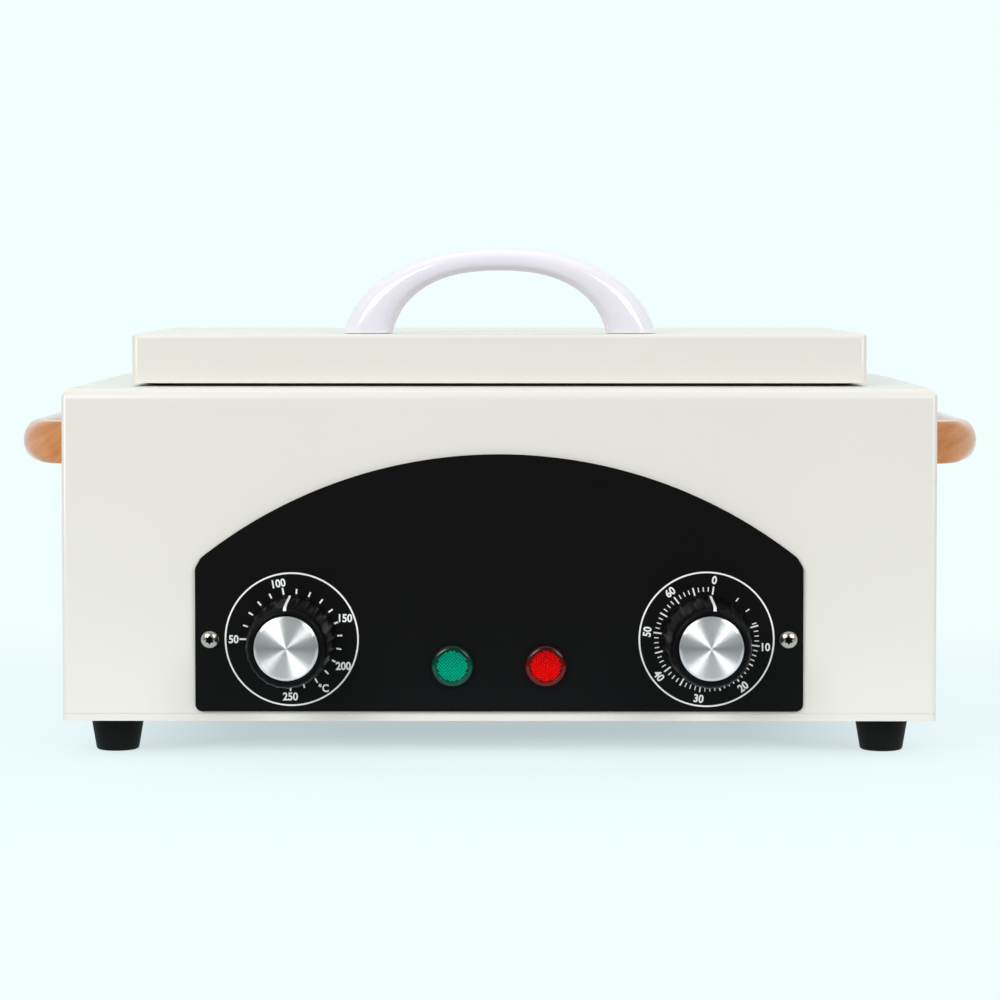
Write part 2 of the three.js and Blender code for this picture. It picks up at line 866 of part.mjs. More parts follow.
// Power inlet: a flange outside the back wall, a body inside it, and a socket with three pins
function powerInlet() {
  const seat = backFace + seatGap;
  const face = seat + inletFlangeThickness;
  const inner = face - inletBodyDepth;
  const socketEnd = face - inletSocketDepth;
  const flangeOutline = roundedRectangle(inletFlangeWidth, inletFlangeHeight, inletCornerRadius);
  const bodyOutline = roundedRectangle(inletBodyWidth, inletBodyHeight, inletSocketRadius);
  const socket = roundedRectangle(inletSocketWidth, inletSocketHeight, inletSocketRadius);
  const holes = bothSides(inletScrewX).map((x) =>
    barY(inletScrew.shankRadius + fitGap, seat - overrun, face + overrun, x, 0, screwSides),
  );
  const solid = join([plateY(flangeOutline, seat, face), plateY(bodyOutline, inner, face)]);
  const shell = cut(solid, [plateY(socket, socketEnd, face + overrun), ...holes]);
  const pins = [-1, 0, 1].map((place) => {
    const x = place * pinSpread;
    const low = (place === 0 ? pinOffset : -pinOffset) - pinHeight / 2;
    const half = pinWidth / 2;
    return box(x - half, x + half, inner + sheet, socketEnd + pinLength, low, low + pinHeight);
  });
  const across = terminalWidth / 2;
  const tabs = bothSides(pinSpread).map((x) => {
    const half = terminalThickness / 2;
    return box(x - half, x + half, inner - terminalLength, inner + sheet, -across, across);
  });
  return join([shell, ...pins, ...tabs]);
}

// Side handle for the right side, at its wall: X 0 is the wall's face
function sideHandle() {
  const end = sideHandleLength / 2;
  const innerEnd = end - sideHandleFoot;
  const outline = new THREE.Shape();
  const outerX = sideHandleReach - sideHandleOuterRadius;
  const outerY = end - sideHandleOuterRadius;
  const innerX = sideHandleInnerReach - sideHandleInnerRadius;
  const innerY = innerEnd - sideHandleInnerRadius;
  const start = Math.min(outerX, 0) - overrun;
  outline.moveTo(start, -end);
  outline.absarc(outerX, -outerY, sideHandleOuterRadius, -Math.PI / 2, 0);
  outline.absarc(outerX, outerY, sideHandleOuterRadius, 0, Math.PI / 2);
  outline.lineTo(start, end);
  outline.lineTo(start, innerEnd);
  outline.absarc(innerX, innerY, sideHandleInnerRadius, Math.PI / 2, 0, true);
  outline.absarc(innerX, -innerY, sideHandleInnerRadius, 0, -Math.PI / 2, true);
  outline.lineTo(start, -innerEnd);
  outline.closePath();
  const bow = solidOf(roundedPlate(outline, sideHandleHeight, sideHandleEdgeRadius));
  const behind = box(2 * start, seatGap, -2 * end, 2 * end, -sideHandleHeight, sideHandleHeight);
  const depth = sideHandleScrew.shankLength - sheet;
  const holes = bothSides(sideHandleScrewY).map((y) =>
    barX(sideHandleScrew.shankRadius + fitGap, -overrun, depth, y, 0, screwSides),
  );
  return cut(bow, [behind, ...holes]);
}

// Tub: a flange on the cabinet's top, walls and a floor
function chamberTub() {
  const inner = sealInnerSize();
  const flangeWidth = inner.width - 2 * fitGap;
  const flangeDepth = inner.depth - 2 * fitGap;
  const flangeRadius = chamberCornerRadius + (flangeDepth - chamberDepth) / 2;
  const outline = roundedRectangle(flangeWidth, flangeDepth, flangeRadius);
  const flange = plateZ(outline, cabinetTop + seatGap, rimZ);
  const walls = tubWell(0, tubBottom, rimZ);
  const hollow = roundedRectangle(chamberWidth, chamberDepth, chamberCornerRadius);
  return cut(join([flange, walls]), [plateZ(hollow, chamberFloor, rimZ + overrun)]);
}

// Heater: a U of tube under the tub, whose two tails turn down through the insulation
function heaterPath() {
  const left = heaterEndMargin - chamberWidth / 2;
  const right = chamberWidth / 2 - heaterEndMargin - heaterHalfSpan;
  const low = heaterZ - heaterBendRadius - heaterTailLength;
  const bulge = right + (4 * heaterHalfSpan) / 3; // the handles of a curve that is close to a half circle
  const path = new THREE.CurvePath();
  const spot = (x, side, z) => new THREE.Vector3(x, side * heaterHalfSpan, z);
  const inner = left + heaterBendRadius;
  const turn = heaterZ - heaterBendRadius;
  const bend = (side) => [spot(left, side, turn), spot(left, side, heaterZ), spot(inner, side, heaterZ)];
  path.add(new THREE.LineCurve3(spot(left, 1, low), spot(left, 1, turn)));
  path.add(new THREE.QuadraticBezierCurve3(...bend(1)));
  path.add(new THREE.LineCurve3(spot(inner, 1, heaterZ), spot(right, 1, heaterZ)));
  path.add(
    new THREE.CubicBezierCurve3(
      spot(right, 1, heaterZ),
      spot(bulge, 1, heaterZ),
      spot(bulge, -1, heaterZ),
      spot(right, -1, heaterZ),
    ),
  );
  path.add(new THREE.LineCurve3(spot(right, -1, heaterZ), spot(inner, -1, heaterZ)));
  path.add(new THREE.QuadraticBezierCurve3(...bend(-1).reverse()));
  path.add(new THREE.LineCurve3(spot(left, -1, turn), spot(left, -1, low)));
  return path;
}

function heaterElement() {
  return tubeAlong(heaterPath(), heaterRadius, heaterSides, heaterSteps);
}

// Clamp: a strap under the heater's two legs, with its ends turned up to the tub
function heaterClamp() {
  const half = heaterHalfSpan + heaterRadius + clampMargin;
  const strap = box(-clampWidth / 2, clampWidth / 2, -half, half, clampZ, clampZ + clampThickness);
  const posts = bothSides(half - clampThickness / 2).map((y) => {
    const thick = clampThickness / 2;
    return box(-clampWidth / 2, clampWidth / 2, y - thick, y + thick, clampZ, tubBottom - seatGap);
  });
  return join([strap, ...posts]);
}

// Insulation: a board box round the tub, open for the heater, the bulb and the capillary
function insulationJacket() {
  const grow = 2 * (tubWall + insulationGap + insulationWall);
  const width = chamberWidth + grow;
  const depth = chamberDepth + grow;
  const radius = chamberCornerRadius + grow / 2;
  const top = cabinetTop - sheet - fitGap;
  const block = plateZ(roundedRectangle(width, depth, radius), insulationBottom, top);
  const well = tubWell(insulationGap, insulationBottom + insulationFloor, top + overrun);
  const tails = bothSides(heaterHalfSpan).map((y) => {
    const x = heaterEndMargin - chamberWidth / 2;
    const half = heaterRadius + insulationGap;
    return box(x - half, x + heaterBendRadius, y - half, y + half, insulationBottom - overrun, heaterZ);
  });
  return cut(block, [well, ...tails, ...bulbPocket()]);
}

// Where the bulb lies against the tub's front wall
function bulbPlace() {
  return { y: -(chamberDepth / 2 + tubWall + fitGap + bulbRadius), z: cabinetTop - bulbDrop };
}

function bulbPocket() {
  const { y, z } = bulbPlace();
  const half = bulbLength / 2 + pocketMargin;
  const low = z - bulbRadius - pocketMargin;
  const high = z + bulbRadius + pocketMargin;
  const pocket = box(-half, half, y - bulbRadius - clipThickness - pocketMargin / 2, 0, low, high);
  const front = y - insulationWall - overrun;
  const slot = box(-half - capillaryCutWidth, -half + pocketMargin, front, 0, low, high);
  return [pocket, slot];
}

// Bulb with the capillary tube that leads down to the thermostat
function thermostatBulb() {
  const { y, z } = bulbPlace();
  const end = -bulbLength / 2;
  const top = dialZ + thermostatSize / 2 + seatGap;
  const front = wallInside + seatGap;
  const bayY = (y - insulationWall + front) / 2;
  const points = [
    new THREE.Vector3(end + bulbRadius, y, z),
    new THREE.Vector3(end - bulbRadius, y, z),
    new THREE.Vector3(end - 4 * bulbRadius, (y + bayY) / 2, z),
    new THREE.Vector3((end - dialX) / 2 - 2 * bulbRadius, bayY, z - 2 * bulbRadius),
    new THREE.Vector3(-dialX + bulbRadius, bayY, (z + top) / 2),
    new THREE.Vector3(-dialX, bayY, top + 2 * bulbRadius),
    new THREE.Vector3(-dialX, bayY, top),
  ];
  const curve = new THREE.CatmullRomCurve3(points);
  const capillary = tubeAlong(curve, capillaryRadius, capillarySides, capillarySteps);
  return join([barX(bulbRadius, end, -end, y, z, screwSides), capillary]);
}

// Clip: a bent strip that holds the bulb to the tub's wall
function bulbClip() {
  const { y, z } = bulbPlace();
  const half = bulbRadius + fitGap;
  const wall = -(chamberDepth / 2 + tubWall + seatGap);
  const out = half + clipThickness;
  const block = box(-clipWidth / 2, clipWidth / 2, y - out, wall, z - out, z + out);
  const hollow = box(-overrun, overrun, y - half, 0, z - half, z + half);
  return cut(block, [hollow]);
}

// Tray: a pan with two rows of slots in its floor and a lifting tab at each end
function instrumentTray() {
  const width = chamberWidth - 2 * trayGap;
  const depth = chamberDepth - 2 * trayGap;
  const radius = chamberCornerRadius - trayWall;
  const bottom = chamberFloor + fitGap;
  const top = rimZ - trayRimDrop;
  const outside = plateZ(roundedRectangle(width, depth, radius), bottom, top);
  const tabs = bothSides((width - trayWall) / 2).map((x) =>
    box(x - trayWall / 2, x + trayWall / 2, -trayTabWidth / 2, trayTabWidth / 2, bottom, top + trayTabRise),
  );
  const inner = roundedRectangle(width - 2 * trayWall, depth - 2 * trayWall, radius - trayWall);
  const hollow = plateZ(inner, bottom + trayWall, top + trayTabRise + overrun);
  return cut(join([outside, ...tabs]), [hollow, ...traySlots(width, depth, bottom)]);
}

function traySlots(width, depth, bottom) {
  const slots = [];
  const pitch = (width - 2 * traySlotEndMargin) / traySlotCount;
  for (let i = 0; i < traySlotCount; i += 1) {
    const x = (i - (traySlotCount - 1) / 2) * pitch;
    const left = x - traySlotWidth / 2;
    const right = x + traySlotWidth / 2;
    const near = traySlotBridge / 2;
    const far = depth / 2 - traySlotEndMargin;
    slots.push(box(left, right, near, far, bottom - overrun, bottom + overrun));
    slots.push(box(left, right, -far, -near, bottom - overrun, bottom + overrun));
  }
  return slots;
}

// Lid shell: a folded box that is open below, with two holes for its handle's screws
function lidShell() {
  const outside = foldedBox(lidWidth, lidDepth, lidBottom, lidTop, lidCornerRadius, lidEdgeRadius);
  const inside = foldedBox(
    lidWidth - 2 * sheet,
    lidDepth - 2 * sheet,
    lidBottom - overrun,
    lidTop - sheet,
    lidCornerRadius - sheet,
    lidEdgeRadius - sheet,
  );
  const holes = bothSides(bowScrewX).map((x) =>
    barZ(bowScrew.shankRadius + fitGap, lidTop - overrun, lidTop + overrun, x, bowY, screwSides),
  );
  return cut(outside, [inside, ...holes]);
}

// Liner: a pan that closes the lid from below
function lidLiner() {
  const width = lidWidth - 2 * (sheet + fitGap);
  const depth = lidDepth - 2 * (sheet + fitGap);
  const radius = lidCornerRadius - sheet - fitGap;
  const top = linerBottom + linerRimHeight;
  const pan = plateZ(roundedRectangle(width, depth, radius), linerBottom, top);
  const x = width / 2 - linerWall;
  const y = depth / 2 - linerWall;
  return cut(pan, [box(-x, x, -y, y, linerBottom + linerWall, top + overrun)]);
}

function lidInsulation() {
  const width = lidWidth - 2 * (sheet + 2 * fitGap + linerWall);
  const depth = lidDepth - 2 * (sheet + 2 * fitGap + linerWall);
  const top = lidTop - sheet - fitGap;
  const board = box(-width / 2, width / 2, -depth / 2, depth / 2, linerBottom + linerWall + fitGap, top);
  const pocketTop = top + overrun;
  const pocketBottom = lidTop - sheet - bowScrew.headHeight - 2 * fitGap;
  const pockets = bothSides(bowScrewX).map((x) =>
    barZ(bowScrew.headRadius + insulationGap, pocketBottom, pocketTop, x, bowY, screwSides),
  );
  return cut(board, pockets);
}

// The seal's inner opening, which the tub's flange lies in
function sealInnerSize() {
  const inset = 2 * (sealInset + sealWidth);
  return { width: lidWidth - inset, depth: lidDepth - inset };
}

function lidSeal() {
  const inner = sealInnerSize();
  const bottom = cabinetTop + seatGap;
  const innerRadius = chamberCornerRadius;
  const outline = roundedRectangle(
    inner.width + 2 * sealWidth,
    inner.depth + 2 * sealWidth,
    innerRadius + sealWidth,
  );
  const ring = plateZ(outline, bottom, linerBottom - seatGap);
  const opening = roundedRectangle(inner.width, inner.depth, innerRadius);
  return cut(ring, [plateZ(opening, bottom - overrun, linerBottom + overrun)]);
}

// Points of a superellipse over the lid, from the right foot to the left, and on down to a given depth
function bowEdge(halfWidth, sink, rise, power, depth) {
  const height = rise + sink;
  const foot = Math.asin((sink / height) ** (power / 2));
  const points = [];
  for (let i = 0; i <= bowSteps; i += 1) {
    const angle = foot + ((Math.PI - 2 * foot) * i) / bowSteps;
    const across = Math.abs(Math.cos(angle)) ** (2 / power) * Math.sign(Math.cos(angle));
    const up = Math.sin(angle) ** (2 / power);
    points.push(new THREE.Vector2(halfWidth * across, height * up - sink));
  }
  const first = points[0];
  const last = points[bowSteps];
  points.unshift(new THREE.Vector2(first.x, -depth));
  points.push(new THREE.Vector2(last.x, -depth));
  return points;
}

// Lid handle: the bow stands on the lid's top face at Y 0, Z 0
function lidHandle() {
  const outer = bowEdge(bowHalfWidth, bowSink, bowRise, bowPower, overrun);
  const inner = bowEdge(gripHalfWidth, gripSink, bowRise - bowCrownThickness, gripPower, overrun);
  const outline = new THREE.Shape([...outer, ...inner.reverse()]);
  const geometry = roundedPlate(outline, bowDepth, bowEdgeRadius);
  geometry.rotateX(Math.PI / 2);
  const wide = 2 * bowHalfWidth;
  const below = box(-wide, wide, -bowDepth, bowDepth, -2 * overrun, seatGap);
  const holes = bothSides(bowScrewX).map((x) =>
    barZ(bowScrew.shankRadius + fitGap, -overrun, bowScrew.shankLength - sheet + fitGap, x, 0, screwSides),
  );
  return cut(solidOf(geometry), [below, ...holes]);
}

// The cabinet's outer knuckles and the lid's middle one, as lengths along X from the hinge's centre
function knuckleEnds() {
  const middle = knuckleWidth / 2 - seatGap / 2;
  const outer = knuckleWidth / 2 + seatGap / 2;
  return { middle, outer, end: hingeWidth / 2 };
}

function rivet(x, y, z) {
  return barY(rivetRadius, y, y + rivetHeight, x, z, screwSides);
}

// Leaf on the lid's rear face, with the middle knuckle: Y 0, Z 0 is the pin's axis
function lidLeaf() {
  const { middle, outer, end } = knuckleEnds();
  const seat = seatGap - hingeSetback;
  const face = seat + leafThickness;
  const plate = box(-end, end, seat, face, 0, lidLeafRise);
  const knuckle = barX(knuckleRadius, -middle, middle, 0, 0, turnedSides);
  const clear = knuckleRadius + 2 * fitGap;
  const notches = [
    box(-2 * end, -middle, -clear, clear, -clear, clear),
    box(middle, 2 * end, -clear, clear, -clear, clear),
  ];
  const bore = barX(hingePinRadius + turnGap, -outer, outer, 0, 0, turnedSides);
  const rivets = bothSides(rivetX).map((x) => rivet(x, face - leafThickness / 2, lidRivetRise));
  return join([cut(join([plate, knuckle]), [...notches, bore]), ...rivets]);
}

// Leaf on the cabinet: flat behind the lid, bent over the rear edge and down the back
function bodyLeaf() {
  const { outer, end } = knuckleEnds();
  const lower = seatGap - hingeRise;
  const upper = lower + leafThickness;
  const bendY = backFace - cabinetEdgeRadius - hingeY;
  const bendZ = -hingeRise - cabinetEdgeRadius;
  const innerRadius = cabinetEdgeRadius + seatGap;
  const outerRadius = innerRadius + leafThickness;
  const profile = new THREE.Shape();
  profile.moveTo(0, lower);
  profile.absarc(bendY, bendZ, innerRadius, Math.PI / 2, 0, true);
  profile.lineTo(bendY + innerRadius, bendZ - bodyLeafDrop);
  profile.lineTo(bendY + outerRadius, bendZ - bodyLeafDrop);
  profile.absarc(bendY, bendZ, outerRadius, 0, Math.PI / 2);
  profile.lineTo(0, upper);
  profile.closePath();
  const strip = plateX(profile, -end, end);
  const clear = knuckleRadius + 2 * fitGap;
  const notch = box(-outer, outer, -clear, clear, -2 * clear, clear);
  const knuckles = bothSides(1).map((side) => {
    const ends = [side * outer, side * end].sort((a, b) => a - b);
    return barX(knuckleRadius, ends[0], ends[1], 0, 0, turnedSides);
  });
  const bore = barX(hingePinRadius + turnGap, -2 * end, 2 * end, 0, 0, turnedSides);
  const face = bendY + outerRadius;
  const rivets = bothSides(rivetX).map((x) => rivet(x, face - leafThickness / 2, bendZ - bodyRivetDrop));
  return join([cut(join([cut(strip, [notch]), ...knuckles]), [bore]), ...rivets]);
}

function hingePin() {
  const { end } = knuckleEnds();
  return barX(hingePinRadius, -end, end, 0, 0, turnedSides);
}

// Leads: each runs from one terminal to the next, low in the control bay
function leadRoutes() {
  const thermostatBack = wallInside + seatGap + thermostatDepth + terminalLength + fitGap;
  const timerBack = wallInside + seatGap + timerDepth + terminalLength + fitGap;
  const inletInner = backFace + seatGap + inletFlangeThickness - inletBodyDepth - terminalLength - fitGap;
  const heaterX = heaterEndMargin - chamberWidth / 2;
  const heaterEnd = heaterZ - heaterBendRadius - heaterTailLength - fitGap;
  const low = baseRimTop;
  const mid = (low + dialZ) / 2;
  const quarter = cabinetWidth / 4;
  const spot = (x, y, z) => new THREE.Vector3(x, y, z);
  return {
    lead_inlet_to_timer: [
      spot(inletX + pinSpread, inletInner, inletZ),
      spot(inletX + pinSpread, inletInner - terminalLength, inletZ),
      spot(inletX, 0, low),
      spot(dialX + 2 * terminalX, timerBack / 2, mid),
      spot(dialX + terminalX, timerBack + terminalLength, dialZ),
      spot(dialX + terminalX, timerBack, dialZ),
    ],
    lead_timer_to_thermostat: [
      spot(dialX - terminalX, timerBack, dialZ),
      spot(dialX - terminalX, timerBack + terminalLength, dialZ),
      spot(dialX / 2, timerBack / 2, low),
      spot(-dialX / 2, timerBack / 2, low),
      spot(terminalX - dialX, thermostatBack + terminalLength, dialZ),
      spot(terminalX - dialX, thermostatBack, dialZ),
    ],
    lead_thermostat_to_heater: [
      spot(-dialX - terminalX, thermostatBack, dialZ),
      spot(-dialX - terminalX, thermostatBack + terminalLength, dialZ),
      spot((heaterX - dialX) / 2, -heaterHalfSpan - terminalLength, mid),
      spot(heaterX, -heaterHalfSpan, dialZ),
      spot(heaterX, -heaterHalfSpan, heaterEnd),
    ],
    lead_inlet_to_heater: [
      spot(inletX - pinSpread, inletInner, inletZ),
      spot(inletX - pinSpread, inletInner - terminalLength, inletZ),
      spot(quarter, heaterHalfSpan, low),
      spot(0, heaterHalfSpan, low),
      spot(-quarter, heaterHalfSpan, low),
      spot(heaterX, heaterHalfSpan, dialZ),
      spot(heaterX, heaterHalfSpan, heaterEnd),
    ],
  };
}

function lead(points) {
  return tubeAlong(new THREE.CatmullRomCurve3(points), leadRadius, leadSides, leadSteps);
}

// Assembly
const sterilizer = new THREE.Group();
const assembly = new THREE.Group();
assembly.position.y = (frontReach - backReach) / 2;
sterilizer.add(assembly);

function place(name, solid, material, x = 0, y = 0, z = 0) {
  const mesh = new THREE.Mesh(geometryOf(solid), material);
  mesh.name = name;
  mesh.position.set(x, y, z);
  assembly.add(mesh);
  return mesh;
}

function placeCabinet() {
  place("cabinet_shell", cabinetShell(), ivoryEnamel());
  place("base_plate", basePlate(), zincPlatedSteel());
  for (const { corner, x, y } of footPlaces()) {
    place(`foot_${corner}`, foot(), blackRubber(), x, y);
    place(`foot_screw_${corner}`, screw(footScrew), zincPlatedSteel(), x, y, footRecessDepth - seatGap);
  }
}

function placePanel() {
  place("control_panel", controlPanel(), blackPanelPlate());
  const seat = panelFace - seatGap;
  for (const [side, x] of [["left", -panelScrewX], ["right", panelScrewX]]) {
    const head = place(`panel_screw_${side}`, screw(panelScrew), stainlessSteel(), x, seat, panelScrewZ);
    head.rotation.x = -Math.PI / 2;
  }
}

function placeDial(name, body, x) {
  place(`${name}_body`, body, zincPlatedSteel(), x, 0, dialZ);
  place(`${name}_nut`, bushNut(), zincPlatedSteel(), x, 0, dialZ);
  place(`${name}_shaft`, dialShaft(), zincPlatedSteel(), x, 0, dialZ);
  place(`${name}_knob`, knob(), blackKnobPlastic(), x, 0, dialZ);
  place(`${name}_knob_cap`, knobCap(), spunAluminium(), x, 0, dialZ);
}

function placeLamp(name, lensMaterial, x) {
  place(`${name}_lens`, lampLens(), lensMaterial, x, 0, lampZ);
  place(`${name}_holder`, lampHolder(), darkPlastic(), x, 0, lampZ);
}

function placeInlet() {
  place("power_inlet", powerInlet(), darkPlastic(), inletX, 0, inletZ);
  const seat = backFace + 2 * seatGap + inletFlangeThickness;
  for (const [side, x] of [["left", -inletScrewX], ["right", inletScrewX]]) {
    const name = `inlet_screw_${side}`;
    const head = place(name, screw(inletScrew), zincPlatedSteel(), inletX + x, seat, inletZ);
    head.rotation.x = Math.PI / 2;
  }
}

function placeSideHandles() {
  const wall = cabinetWidth / 2;
  const seat = wall - sheet - seatGap;
  for (const [side, sign] of [["left", -1], ["right", 1]]) {
    const bow = place(`side_handle_${side}`, sideHandle(), lacqueredWood(), sign * wall, 0, sideHandleZ);
    bow.rotation.z = sign < 0 ? Math.PI : 0;
    for (const [end, y] of [["front", -sideHandleScrewY], ["rear", sideHandleScrewY]]) {
      const name = `side_handle_screw_${side}_${end}`;
      const head = place(name, screw(sideHandleScrew), zincPlatedSteel(), sign * seat, y, sideHandleZ);
      head.rotation.y = (sign * Math.PI) / 2;
    }
  }
}

function placeChamber() {
  place("chamber_tub", chamberTub(), stainlessSteel());
  place("heater_element", heaterElement(), stainlessSteel());
  place("heater_clamp", heaterClamp(), zincPlatedSteel());
  place("insulation_jacket", insulationJacket(), fibreBoard());
  place("thermostat_bulb", thermostatBulb(), stainlessSteel());
  place("bulb_clip", bulbClip(), stainlessSteel());
  place("instrument_tray", instrumentTray(), stainlessSteel());
}

function placeLid() {
  place("lid_shell", lidShell(), ivoryEnamel());
  place("lid_liner", lidLiner(), stainlessSteel());
  place("lid_insulation", lidInsulation(), fibreBoard());
  place("lid_seal", lidSeal(), siliconeSeal());
  place("lid_handle", lidHandle(), whiteHandlePlastic(), 0, bowY, lidTop);
  const seat = lidTop - sheet - seatGap;
  for (const [side, x] of [["left", -bowScrewX], ["right", bowScrewX]]) {
    place(`lid_handle_screw_${side}`, screw(bowScrew), zincPlatedSteel(), x, bowY, seat);
  }
}

function placeHinges() {
  for (const [side, x] of [["left", -hingeX], ["right", hingeX]]) {
    place(`hinge_lid_leaf_${side}`, lidLeaf(), stainlessSteel(), x, hingeY, hingeZ);
    place(`hinge_body_leaf_${side}`, bodyLeaf(), stainlessSteel(), x, hingeY, hingeZ);
    place(`hinge_pin_${side}`, hingePin(), stainlessSteel(), x, hingeY, hingeZ);
  }
}

function placeLeads() {
  for (const [name, points] of Object.entries(leadRoutes())) {
    place(name, lead(points), leadSleeve());
  }
}

placeCabinet();
placePanel();
placeDial("thermostat", thermostatBody(), -dialX);
placeDial("timer", timerBody(), dialX);
placeLamp("green_lamp", greenLens(), -lampX);
placeLamp("red_lamp", redLens(), lampX);
placeInlet();
placeSideHandles();
placeChamber();
placeLid();
placeHinges();
placeLeads();

export default sterilizer;
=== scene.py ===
"""Dry heat sterilizer: fine meshes and finishes for the enamelled case, its lid, dials, lamps and handles.

Lengths in the code are in millimetres unless a name or a unit says otherwise. +Z is up, the dials face -Y.
"""

import math
from math import cos, pi, radians, sin

import bmesh
import bpy
from bpy.props import FloatProperty, FloatVectorProperty, IntProperty, PointerProperty
from mathutils import Euler, Matrix, Vector


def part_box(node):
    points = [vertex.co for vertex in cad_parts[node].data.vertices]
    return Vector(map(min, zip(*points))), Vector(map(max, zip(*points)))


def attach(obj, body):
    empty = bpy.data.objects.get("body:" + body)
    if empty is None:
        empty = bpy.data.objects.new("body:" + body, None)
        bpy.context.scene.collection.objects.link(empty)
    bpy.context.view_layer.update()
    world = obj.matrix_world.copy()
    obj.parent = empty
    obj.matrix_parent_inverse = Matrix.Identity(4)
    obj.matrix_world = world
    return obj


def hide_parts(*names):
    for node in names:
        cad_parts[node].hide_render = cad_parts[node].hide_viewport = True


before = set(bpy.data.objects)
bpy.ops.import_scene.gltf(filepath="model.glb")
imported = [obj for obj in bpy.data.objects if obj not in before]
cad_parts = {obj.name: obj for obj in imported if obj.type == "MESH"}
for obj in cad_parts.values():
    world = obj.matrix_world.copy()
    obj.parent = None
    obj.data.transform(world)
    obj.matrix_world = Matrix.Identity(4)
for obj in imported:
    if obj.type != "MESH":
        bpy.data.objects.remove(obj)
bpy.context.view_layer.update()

bl_info = {
    "name": "Dry Heat Sterilizer",
    "version": (1, 0, 0),
    "blender": (4, 5, 0),
    "location": "View3D > Sidebar > Sterilizer",
    "description": "Builds the case, lid, dials, lamps, handles and chamber of a bench sterilizer",
    "category": "Add Mesh",
}

MM = 0.001
ARC_STEPS = 8
ROUND_STEPS = 96
SHARP = 35.0  # degrees between faces from which an edge is sharp
MERGE = 0.0005  # points nearer than this are one
CUT = 6.0  # how far a cutter runs past the face that it cuts
FAR = 999.0  # past everything


def linear(code):
    """The linear colour of an sRGB hex code."""
    parts = [int(code[i : i + 2], 16) / 255 for i in (1, 3, 5)]
    return tuple(c / 12.92 if c <= 0.04045 else ((c + 0.055) / 1.055) ** 2.4 for c in parts)


def once(maker):
    """Keeps what a maker made for the same values, so that pieces share it."""
    made = {}

    def find(*given):
        key = tuple(value if isinstance(value, str) else tuple(value) for value in given)
        if key not in made:
            made[key] = maker(*given)
        return made[key]

    return find


# Settings


def colour_setting(name, description, code):
    values = {"subtype": "COLOR", "size": 3, "min": 0, "max": 1, "default": linear(code)}
    return FloatVectorProperty(name=name, description=description, **values)


def length_setting(name, description, millimetres):
    return FloatProperty(name=name, description=description, unit="LENGTH", min=0, default=millimetres * MM)


def power_setting(name, description, watts):
    return FloatProperty(name=name, description=description, unit="POWER", min=0, default=watts)


class CaseSettings(bpy.types.PropertyGroup):
    enamel: colour_setting("Enamel", "Colour of the case and the lid", "#e6e5dd")
    sheet: length_setting("Sheet", "Thickness of the folded steel", 1.0)
    corner: length_setting("Corner", "Radius down the corners of the case and the lid", 2.2)
    case_edge: length_setting("Case Edge", "Radius round the top of the case", 4.5)
    lid_edge: length_setting("Lid Edge", "Radius round the top of the lid", 1.6)
    vents: IntProperty(name="Cooling Slots", description="Number of slots in the back", default=10, min=1)
    feet: colour_setting("Feet", "Colour of the rubber feet", "#0d0d0d")


class PanelSettings(bpy.types.PropertyGroup):
    black: colour_setting("Panel", "Colour of the control panel", "#09090a")
    print_white: colour_setting("Print", "Colour of the rings, marks and numbers", "#f2f3f2")
    bevel: length_setting("Bevel", "Width of the panel's bevelled edge", 0.3)
    ring_width: length_setting("Ring Width", "Width of the ring round each dial", 0.55)
    numeral: length_setting("Numeral Height", "Height of the numbers round the dials", 2.85)


class DialSettings(bpy.types.PropertyGroup):
    plastic: colour_setting("Knob", "Colour of the moulded knobs", "#080809")
    aluminium: colour_setting("Cap", "Colour of the spun caps", "#f6f6f7")
    flutes: IntProperty(name="Flutes", description="Number of flutes down a knob", default=24, min=6)
    flute_depth: length_setting("Flute Depth", "Depth of the flutes", 0.4)
    pointer: length_setting("Pointer Width", "Width of the painted pointer line", 0.9)


class LampSettings(bpy.types.PropertyGroup):
    green: colour_setting("Green Lens", "Colour of the left lamp", "#00b491")
    red: colour_setting("Red Lens", "Colour of the right lamp", "#f01010")
    pitch: length_setting("Diamond Pitch", "Distance between the lens's raised diamonds", 0.8)


class HandleSettings(bpy.types.PropertyGroup):
    wood_light: colour_setting("Light Wood", "Colour of the wood between its streaks", "#df9c60")
    wood_dark: colour_setting("Dark Wood", "Colour of the wood's streaks", "#c8834c")
    plastic: colour_setting("Lid Handle", "Colour of the moulded lid handle", "#edebf3")


class ChamberSettings(bpy.types.PropertyGroup):
    steel: colour_setting("Steel", "Colour of the stainless sheet", "#c8c9ca")
    fillet: length_setting("Fillet", "Radius round the chamber's floor", 3.0)


class StageSettings(bpy.types.PropertyGroup):
    backdrop: colour_setting("Backdrop", "Colour of the floor and the background", "#f1fefe")
    lens: FloatProperty(name="Lens", description="Focal length", unit="CAMERA", default=116.7, min=1)
    sky: FloatProperty(name="Surround", description="Strength of the even light", default=0.9, min=0)
    key: power_setting("Key Light", "Power of the main light", 22.5)
    fill: power_setting("Fill Light", "Power of the second light", 15.5)
    top: power_setting("Top Light", "Power of the light above", 1.5)


# Shape helpers: points are in millimetres until a piece is made


def span(node):
    """Lowest and highest X, Y and Z of a CAD node."""
    return [(a / MM, b / MM) for a, b in zip(*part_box(node))]


def middle(node):
    return Vector([(a + b) / 2 for a, b in span(node)])


def flat(point, axis):
    """A point's two coordinates across an axis."""
    return [value for letter, value in zip("XYZ", point) if letter != axis]


def lifted(outline, axis, level):
    """An outline drawn across an axis, in the order X, Y, Z, and set at a level along it."""
    index = "XYZ".index(axis)
    return [pair[:index] + (level,) + pair[index:] for pair in outline]


